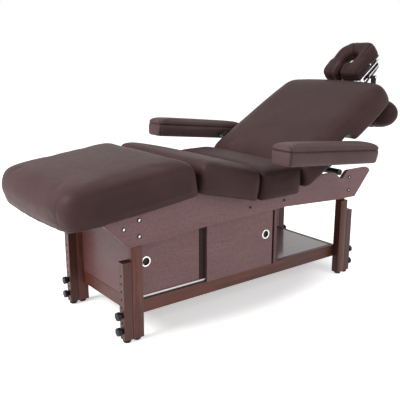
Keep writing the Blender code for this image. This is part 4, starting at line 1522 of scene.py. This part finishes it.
@dataclass
class CabinetFittings:
    """Finger pulls, a dark strip of painted shade between the doors, and the door tracks with a
    dark strip of painted shade along the bottom one.

    Attributes:
        ring: Outer radius of a pull.
        mouth: Radius of its cup.
        strip_width: Width of the strip.
        strip_depth: How far the strip stands off its door.
        air: Gap between a piece and the one beside it.
        foot_shade_depth: How far the strip of painted shade along the bottom track stands off it.
        foot_shade_share: Its height as a share of the track's.
        steel: Finish of the pulls' rings.
        cup: Finish of their cups.
        edge: Finish of the two dark strips of painted shade.
        track: Finish of the tracks.
    """

    ring: float = 0.022
    mouth: float = 0.0150
    strip_width: float = 0.026
    strip_depth: float = 0.0036
    air: float = 0.0003
    foot_shade_depth: float = 0.0022
    foot_shade_share: float = 0.55
    steel: Metal = Metal((0.74, 0.74, 0.75, 1.0), 0.22, 1.0, 0.08)
    cup: Moulded = Moulded(srgb(40, 34, 34), srgb(60, 54, 54), 0.4, 0.0006)
    edge: Moulded = Moulded(srgb(38, 23, 22), srgb(52, 33, 31), 0.5, 0.001)
    track: Moulded = Moulded(srgb(250, 249, 247), srgb(240, 238, 235), 0.32, 0.001)

    def build(self) -> None:
        """Model the pulls and the two dark strips of painted shade, and dress the tracks."""
        ring = self.steel.material("pull_steel")
        pull = self.pull(ring, self.cup.material("pull_cup"))
        for side in ("left", "right"):
            node, spot = "door_pull_" + side, middle("door_pull_" + side)
            place = Matrix.Translation((spot.x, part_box("door_" + side)[0].y, spot.z))
            place = place @ Matrix.Rotation(-QUARTER, 4, "Z")
            fit(Bench.twin(pull, "pull_ring_" + side, place), side + "_door", ring,
                [node])
        bpy.data.objects.remove(pull)
        white = self.track.material("track_plastic")
        for node in ("door_track_bottom", "door_track_top"):
            dress(node, white)
        # One dark material paints the shade in the gap between the doors and under the bottom
        # track.
        edge = self.edge.material("door_edge")
        self.strip(edge)
        self.seal(edge)

    def seal(self, material: Mat) -> None:
        """Model a dark strip of painted shade along the foot of the bottom track.

        Args:
            material: Its finish.
        """
        low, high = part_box("door_track_bottom")
        obj = Bench.slab("track_seal", (low.x, low.y - self.foot_shade_depth, low.z + self.air),
                         (high.x, low.y - 0.0002, low.z + (high.z - low.z) * self.foot_shade_share))
        Bench.edit(obj, "EDGE")
        Bench.pick(obj, "edges", lambda co, way: abs(way.x) > 0.9 and co.y < low.y - 0.001)
        bpy.ops.mesh.bevel(offset=0.0008, segments=3)
        Bench.close()
        Bench.smooth(obj, 40.0)
        fit(obj, "base", material)

    def pull(self, ring: Mat, cup: Mat) -> Obj:
        """Turn a flush ring pull, its axis along +X out of the door.

        Args:
            ring: Finish of the ring.
            cup: Finish of the cup.

        Returns:
            The pull.
        """
        r, m = self.ring, self.mouth
        profile = [(-0.0085, 0.0), (-0.0085, m - 0.003), (-0.0075, m - 0.0012),
                   (-0.002, m - 0.0004), (0.0012, m), (0.0022, m + 0.0012), (0.0026, m + 0.0028),
                   (0.0022, r - 0.0016), (0.0014, r - 0.0004), (0.0004, r), (0.0003, m + 0.001),
                   (-0.010, m + 0.001), (-0.010, 0.0)]
        obj = Bench.turned("pull_ring", profile, 56)
        obj.data.materials.append(ring)
        obj.data.materials.append(cup)
        Bench.edit(obj)
        Bench.pick(obj, "faces",
                   lambda co, n: math.hypot(co.y, co.z) < m - 0.0001 and co.x < 0.0008)
        obj.active_material_index = 1
        bpy.ops.object.material_slot_assign()
        Bench.close()
        Bench.smooth(obj, 50.0)
        return obj

    def strip(self, material: Mat) -> None:
        """Model a dark strip of painted shade on the rear door's face, beside the front door's
        edge.

        Args:
            material: Its finish.
        """
        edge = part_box("door_right")[0].x
        low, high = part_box("door_left")
        obj = Bench.slab(
            "door_edge_strip", (edge - self.strip_width, low.y - self.strip_depth, low.z + 0.005),
            (edge - self.air, low.y - self.air, high.z - 0.012))
        Bench.edit(obj)
        Bench.pick(obj, "faces", lambda co, n: n.y < -0.9)
        bpy.ops.mesh.inset(thickness=0.0025)
        Bench.shift(0.0, 0.0016, 0.0)
        Bench.close()
        Bench.round_off(obj, 0.0006, 2)
        fit(obj, "left_door", material)


# ---------------------------------------------------------------- fasteners


@dataclass
class Fasteners:
    """Bolts through the side panels and the head posts.

    Attributes:
        panel: Bolt places on a side panel, along the table and up.
        post: Heights of the two bolts in a head post's inner face.
        head: Radius of a bright bolt's cup.
        small: Radius of a dark bolt's cup.
        tall: Height of a cup.
        sunk: Depth of its inside.
        blind: The stretch along a panel where the bolts' heads are dark.
        steel: Finish of the bright heads.
        dark: Finish of the dark heads, and of the cups, where its near-black is painted shade and
            painted dark reflection.
    """

    panel: tuple[tuple[float, float], ...] = (
        (-0.030, 0.460), (0.037, 0.485), (0.036, 0.422), (0.590, 0.448), (0.794, 0.449),
        (1.239, 0.497), (1.241, 0.433))
    post: tuple[float, float] = (0.137, 0.104)
    head: float = 0.0086
    small: float = 0.0058
    tall: float = 0.0040
    sunk: float = 0.0032
    blind: tuple[float, float] = (0.5, 0.9)
    steel: Metal = Metal((0.72, 0.70, 0.69, 1.0), 0.24, 1.0, 0.03)
    dark: Metal = Metal((0.018, 0.013, 0.012, 1.0), 0.5, 0.0, 0.03)

    def build(self) -> None:
        """Model a bright and a dark bolt and copy them to every place."""
        bright = self.steel.material("bolt_steel")
        # The cups' near-black paints in the shade and dark reflections of a chrome cup.
        ring = self.dark.material("bolt_ring")
        bolt, dark = self.bolt(bright, ring, self.head), self.bolt(ring, ring, self.small)
        for side, sign in zip(SIDES, (-1, 1)):
            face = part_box("side_panel_" + side)[0 if sign < 0 else 1].y
            turn = Matrix.Rotation(-sign * QUARTER, 4, "X")
            heads = [Bench.twin(dark if self.blind[0] < x < self.blind[1] else bolt, "bolt",
                                Matrix.Translation((x - MIDDLE, face, z)) @ turn)
                     for x, z in self.panel]
            post = "leg_post_head_" + side
            face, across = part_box(post)[0].x, middle(post).y
            turn = Matrix.Rotation(-QUARTER, 4, "Y")
            heads += [Bench.twin(dark, "bolt", Matrix.Translation((face, across, z)) @ turn)
                      for z in self.post]
            fit(Bench.join(heads, "panel_bolts_" + side), "base", bright)
        for model in (bolt, dark):
            bpy.data.objects.remove(model)

    def bolt(self, bright: Mat, ring: Mat,
             r: float) -> Obj:
        """Model a bolt's cup, near-black with painted shade and reflection, with its bright head
        inside, standing on +Z.

        Args:
            bright: Finish of the head.
            ring: Finish of the cup.
            r: Radius of the cup.

        Returns:
            The bolt.
        """
        cup = Bench.rod("bolt", (0, 0, 0), (0, 0, self.tall), r, 28)
        for material in (ring, bright):
            cup.data.materials.append(material)
        Bench.edit(cup)
        Bench.pick(cup, "faces", lambda co, n: n.z > 0.9)
        bpy.ops.mesh.inset(thickness=r * 0.32)
        Bench.extrude(0.0, 0.0, -self.sunk)
        cup.active_material_index = 1
        bpy.ops.object.material_slot_assign()
        bpy.ops.mesh.inset(thickness=r * 0.25)
        Bench.shift(0.0, 0.0, 0.0008)
        Bench.close()
        Bench.round_off(cup, 0.0005, 2, 40.0)
        return cup


# ---------------------------------------------------------------- head end and back


@dataclass
class HeadEnd:
    """Chrome cradle tube, its frame and lever, the bolster's straps and the pillow's snaps.

    Attributes:
        tube: Radius of the cradle tube.
        tube_bend: Radius of its corners.
        tube_y: Half the distance between its legs.
        tube_n: Height of its legs over the back's hinge plane.
        cross_s: Axle's distance along the back from the hinge.
        cross_n: Axle's height over the hinge plane.
        cross_y: Half the axle's length.
        axle: Its radius as a share of the tube's.
        tail: Where the tube's legs end along the back.
        strap: Thickness of the webbing.
        slack: Gap between the webbing and what it runs round.
        frame_y: Half the width of the tilting frame.
        tray: Ends of its tray along the frame, its thickness and the width of its sides.
        bars: The chrome bars on each side of it: their ends ahead and up, and their radius.
        snap: Place of the pillow's snap ahead of, beside and over the axle.
        chrome: Finish of the tube, the bars and the snaps.
        plastic: Finish of the tray, the socket and the lever.
        webbing: Finish of the straps.
    """

    tube: float = 0.007
    tube_bend: float = 0.014
    tube_y: float = 0.086
    tube_n: float = 0.0042
    cross_s: float = 0.774
    cross_n: float = 0.05232
    cross_y: float = 0.150
    axle: float = 0.9
    tail: float = 0.520
    strap: float = 0.0026
    slack: float = 0.0004
    frame_y: float = 0.103
    tray: tuple[float, float, float, float] = (-0.050, 0.125, 0.007, 0.040)
    bars: tuple[tuple[tuple[float, float], tuple[float, float], float], ...] = (
        ((-0.062, 0.0275), (0.122, 0.0165), 0.0046), ((-0.036, 0.0015), (0.102, -0.0065), 0.0036),
        ((-0.022, -0.0165), (0.070, -0.0195), 0.0030))
    snap: Point = (0.0275, 0.1215, 0.0610)
    chrome: Metal = Metal()
    plastic: Moulded = Moulded()
    webbing: Webbing = Webbing()

    def on_back(self, s: float, y: float, n: float) -> Vector:
        """Find a point along the back from its hinge, across it and over the hinge plane."""
        ahead, up = slope(BACK_ANGLE)
        return joint_point("back_lift") + ahead * s + up * n + Vector((0.0, y, 0.0))

    def build(self) -> None:
        """Model and dress the head end."""
        chrome = self.chrome.material("cradle_chrome")
        plastic = self.plastic.material("lever_plastic")
        self.build_tube(chrome)
        self.build_frame(chrome, plastic)
        self.build_snap(chrome)
        for node in ("cradle_lever", "cradle_socket"):
            dress(node, plastic)
        web = self.webbing.material("strap_webbing")
        for side in SIDES:
            self.build_strap(side, web)

    @staticmethod
    def cradle() -> Matrix:
        """Place of the tilting frame: its axle, with X ahead and Z up."""
        turn = Matrix.Rotation(-math.radians(CRADLE_ANGLE), 4, "Y")
        return Matrix.Translation(joint_point("cradle_tilt")) @ turn

    def build_frame(self, chrome: Mat, plastic: Mat) -> None:
        """Model the tilting frame: an open tray on dark cheeks, each with three chrome bars.

        Args:
            chrome: Finish of the bars.
            plastic: Finish of the tray and cheeks.
        """
        y, top = self.frame_y, CRADLE_TOP
        back, front, thick, wide = self.tray
        tray = Bench.slab("cradle_tray", (back, -y, top - thick), (front, y, top))
        Bench.edit(tray)
        Bench.pick(tray, "faces", lambda co, n: abs(n.z) > 0.9)
        bpy.ops.mesh.inset(thickness=wide)
        bpy.ops.mesh.bridge_edge_loops()
        Bench.close()
        Bench.round_off(tray, 0.0012, 2)
        pieces, bars = [tray], []
        for sign in (-1, 1):
            span = sorted((sign * (y - 0.0065), sign * (y - 0.0080)))
            cheek = Bench.slab("cradle_cheek", (-0.034, span[0], -0.020),
                               (0.104, span[1], top - 0.004))
            Bench.edit(cheek, "EDGE")
            Bench.pick(cheek, "edges", lambda co, way: abs(way.y) > 0.9)
            bpy.ops.mesh.bevel(offset=0.010, segments=4)
            Bench.close()
            boss = Bench.rod("cradle_boss", (0, sign * (y - 0.008), 0),
                             (0, sign * (y + 0.0005), 0), 0.0105, 28)
            Bench.round_off(boss, 0.001, 2)
            pieces += [cheek, boss]
            beside = sign * (y - 0.003)
            for (u0, w0), (u1, w1), radius in self.bars:
                bar = Bench.rod("cradle_bar", (u0, beside, w0), (u1, beside, w1), radius, 20)
                Bench.round_off(bar, radius * 0.35, 3)
                bars.append(bar)
        for group, name, finish, slot in ((pieces, "cradle_tray", plastic, "plastic"),
                                          (bars, "cradle_bars", chrome, "chrome")):
            obj = Bench.join(group, name)
            obj.data.transform(self.cradle())
            fit(obj, "cradle", finish, ["cradle_frame"])

    def build_snap(self, chrome: Mat) -> None:
        """Set a snap fastener in each side of the pillow.

        Args:
            chrome: Its finish.
        """
        snaps = []
        for sign in (-1, 1):
            spot = (self.snap[0], sign * self.snap[1], self.snap[2])
            Bench.clear()
            bpy.ops.mesh.primitive_uv_sphere_add(segments=20, ring_count=10, radius=0.0045,
                                                 location=spot)
            snap = Bench.take("pillow_snap")
            Bench.edit(snap, everything=True)
            bpy.ops.transform.resize(value=(1.0, 0.5, 1.0), center_override=spot)
            Bench.pick(snap, "faces", lambda co, n: n.y * sign > 0.93)
            bpy.ops.mesh.inset(thickness=0.0006)
            Bench.shift(0.0, -0.0006 * sign, 0.0)
            Bench.close()
            Bench.smooth(snap, 40.0)
            snaps.append(snap)
        obj = Bench.join(snaps, "pillow_snaps")
        obj.data.transform(self.cradle())
        fit(obj, "cradle", chrome)

    def build_tube(self, chrome: Mat) -> None:
        """Bend the cradle's tube and lay its axle across it.

        Args:
            chrome: Its finish.
        """
        side = [(self.tail, self.tube_n), (self.cross_s, self.tube_n),
                (self.cross_s, self.cross_n)]
        loop = [self.on_back(s, -self.tube_y, n) for s, n in side]
        loop += [self.on_back(s, self.tube_y, n) for s, n in reversed(side)]
        tube = Bench.bent_rod("cradle_tube_bent", loop, self.tube, self.tube_bend)
        ends = [self.on_back(self.cross_s, y, self.cross_n) for y in (-self.cross_y, self.cross_y)]
        axle = Bench.rod("cradle_axle", *ends, self.tube * self.axle, 24)
        Bench.round_off(axle, 0.0012, 3)
        fit(Bench.join([tube, axle], "cradle_tube_bent"), "cradle_slide", chrome,
            ["cradle_tube"])

    def build_strap(self, side: str, web: Mat) -> None:
        """Lay one webbing loop over the axle and round the bolster.

        Args:
            side: Which of the two straps.
            web: Its finish.
        """
        low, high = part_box("bolster_strap_" + side)
        roll_low, roll_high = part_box("arm_bolster")
        radius = (roll_high.z - roll_low.z) / 2 + self.slack + self.strap / 2
        eye = self.tube * self.axle + self.slack + self.strap / 2

        def arc(centre: Vector, reach: float, foot: float, steps: int) -> list[Point]:
            """Go round a centre, from one side of the web to its other side.

            Args:
                centre: The centre.
                reach: Distance from it.
                foot: Angle at which the web meets it.
                steps: How many steps the arc has.

            Returns:
                The arc's points.
            """
            start = math.asin(self.strap * 0.56 / reach)
            sweep = 2 * math.pi - 2 * start
            turns = [foot + start + sweep * i / steps for i in range(steps + 1)]
            return [(centre.x + reach * math.cos(t), low.y, centre.z + reach * math.sin(t))
                    for t in turns]

        path = arc(middle("arm_bolster"), radius, QUARTER, 48)
        path += arc(joint_point("bolster_swing"), eye, -QUARTER, 16)
        obj = Bench.wire("strap", path, True)
        Bench.edit(obj, "EDGE", True)
        Bench.extrude(0.0, high.y - low.y, 0.0)
        bpy.ops.mesh.select_all(action="SELECT")
        bpy.ops.mesh.normals_make_consistent(inside=False)
        Bench.close()
        Bench.modify(obj, "SOLIDIFY", thickness=self.strap, offset=0.0)
        Bench.modify(obj, "BEVEL", width=0.0006, segments=2, limit_method="ANGLE",
                     angle_limit=math.radians(60))
        Bench.smooth(obj, 50.0)
        obj.name = obj.data.name = "bolster_webbing_" + side
        fit(obj, "bolster", web, ["bolster_strap_" + side])


@dataclass
class BackGear:
    """Hinge, prop and armrest brackets, which keep their solids' shapes.

    Attributes:
        edge: Width of their eased edges.
        angle: Least angle of an edge that is eased, in degrees.
        paint: Finish of all but the hinge's rod.
        zinc: Finish of the rod.
    """

    edge: float = 0.0008
    angle: float = 45.0
    paint: Metal = Metal((0.018, 0.018, 0.019, 1.0), 0.38, 0.0, 0.03)
    zinc: Metal = Metal((0.42, 0.42, 0.43, 1.0), 0.30, 1.0, 0.08)

    def build(self) -> None:
        """Dress the steel pieces under the back."""
        paint = self.paint.material("black_paint")
        for node in ("prop_frame", "prop_pivot_rail", "armrest_bracket_near",
                     "armrest_bracket_far", "back_hinge_lug"):
            dress(node, paint, self.edge, self.angle)
        dress("back_hinge_rod", self.zinc.material("zinc_plate"), self.edge, self.angle)


# ---------------------------------------------------------------- studio


@dataclass(frozen=True)
class Lamp:
    """A soft square lamp.

    Attributes:
        name: Its name.
        place: Where it hangs.
        aim: What it points at.
        size: Width of its face.
        power: Its power in watts.
    """

    name: str
    place: Point
    aim: Point
    size: float
    power: float

    def hang(self) -> None:
        """Hang the lamp."""
        data = bpy.data.lights.new(self.name, "AREA")
        data.size = self.size
        data.energy = self.power
        lamp = Bench.link(self.name, data)
        lamp.location = self.place
        way = Vector(self.aim) - Vector(self.place)
        lamp.rotation_euler = way.to_track_quat("-Z", "Y").to_euler()


@dataclass
class Studio:
    """Floor, light and camera.

    Attributes:
        eye: Where the camera stands.
        yaw: Its turn from +Y toward +X, in degrees.
        pitch: How far it looks down, in degrees.
        roll: Its roll, in degrees.
        lens: Its focal length for a 36 mm sensor.
        sky: Level of the light from all round.
        glow: Level of the floor's own light near the table.
        lamps: The lamps.
    """

    eye: Point = (-1.0866 - MIDDLE, -2.0983, 1.1025)
    yaw: float = 37.332
    pitch: float = 14.077
    roll: float = 0.104
    lens: float = 54.04
    sky: float = 0.20
    glow: float = 0.44
    lamps: tuple[Lamp, ...] = (
        Lamp("key", (-3.0, 0.3, 2.3), (0.0, 0.0, 0.5), 1.8, 125.0),
        Lamp("fill", (0.9, -3.4, 1.9), (0.0, 0.0, 0.4), 2.4, 56.0),
        Lamp("top", (0.3, 0.8, 3.4), (0.0, 0.0, 0.4), 2.6, 14.0))

    def build(self) -> None:
        """Set up the floor, the surroundings, the lamps and the camera."""
        self.floor()
        self.surroundings()
        for lamp in self.lamps:
            lamp.hang()
        self.camera()
        bpy.context.scene.view_settings.view_transform = "Standard"

    def floor(self) -> None:
        """Lay a wide pale floor that still takes the table's shadow."""
        Bench.clear()
        bpy.ops.mesh.primitive_plane_add(size=80.0, location=(0, 0, -0.0005))
        obj = Bench.take("studio_floor")
        s = Shader("studio_floor")
        s.fixed(Base_Color=(0.9, 0.9, 0.9, 1.0), Roughness=0.9, Specular_IOR_Level=0.0,
                Emission_Strength=1.0)
        x, y, _ = s.axes()
        across, along = (y - 0.02) * 2.1, (x + 0.15) * 0.92
        away = (along * along + across * across).math("SQRT").ramp(0.55, 1.05)
        level = s.mix(away, (self.glow, self.glow, self.glow, 1.0), WHITE)
        s.feed(Emission_Color=s.mix(s.seen(), BLACK, level))
        obj.data.materials.append(s.material)

    def surroundings(self) -> None:
        """White for the camera and for reflections, a plain level for the light."""
        world = bpy.data.worlds.new("studio")
        bpy.context.scene.world = world
        world.use_nodes = True
        book = Book(world.node_tree)
        level = book.out("ShaderNodeMapRange", {}, {
            "Value": book.seen(), "To Min": self.sky, "To Max": 1.0})
        back = next(n for n in book.tree.nodes if n.type == "BACKGROUND")
        back.inputs["Color"].default_value = WHITE
        book.tree.links.new(level.socket, back.inputs["Strength"])

    def camera(self) -> None:
        """Stand the camera at the photograph's viewing angle."""
        data = bpy.data.cameras.new("camera")
        put(data, {"lens": self.lens, "sensor_width": 36.0, "clip_end": 200.0})
        camera = Bench.link("camera", data)
        turn = (Matrix.Rotation(math.radians(-self.yaw), 4, "Z")
                @ Matrix.Rotation(math.radians(90.0 - self.pitch), 4, "X")
                @ Matrix.Rotation(math.radians(self.roll), 4, "Z"))
        camera.matrix_world = Matrix.Translation(self.eye) @ turn
        bpy.context.scene.camera = camera


def main() -> None:
    """Build the studio and the table's pieces in order, and note the sizes."""
    logging.basicConfig(level=logging.INFO, format="%(name)s: %(message)s")
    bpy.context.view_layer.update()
    for assembly in (Studio(), Woodwork(), LegFittings(), CabinetFittings(), Fasteners(),
                     BackGear(), HeadEnd(), Upholstery()):
        assembly.build()


if __name__ == "__main__":
    main()
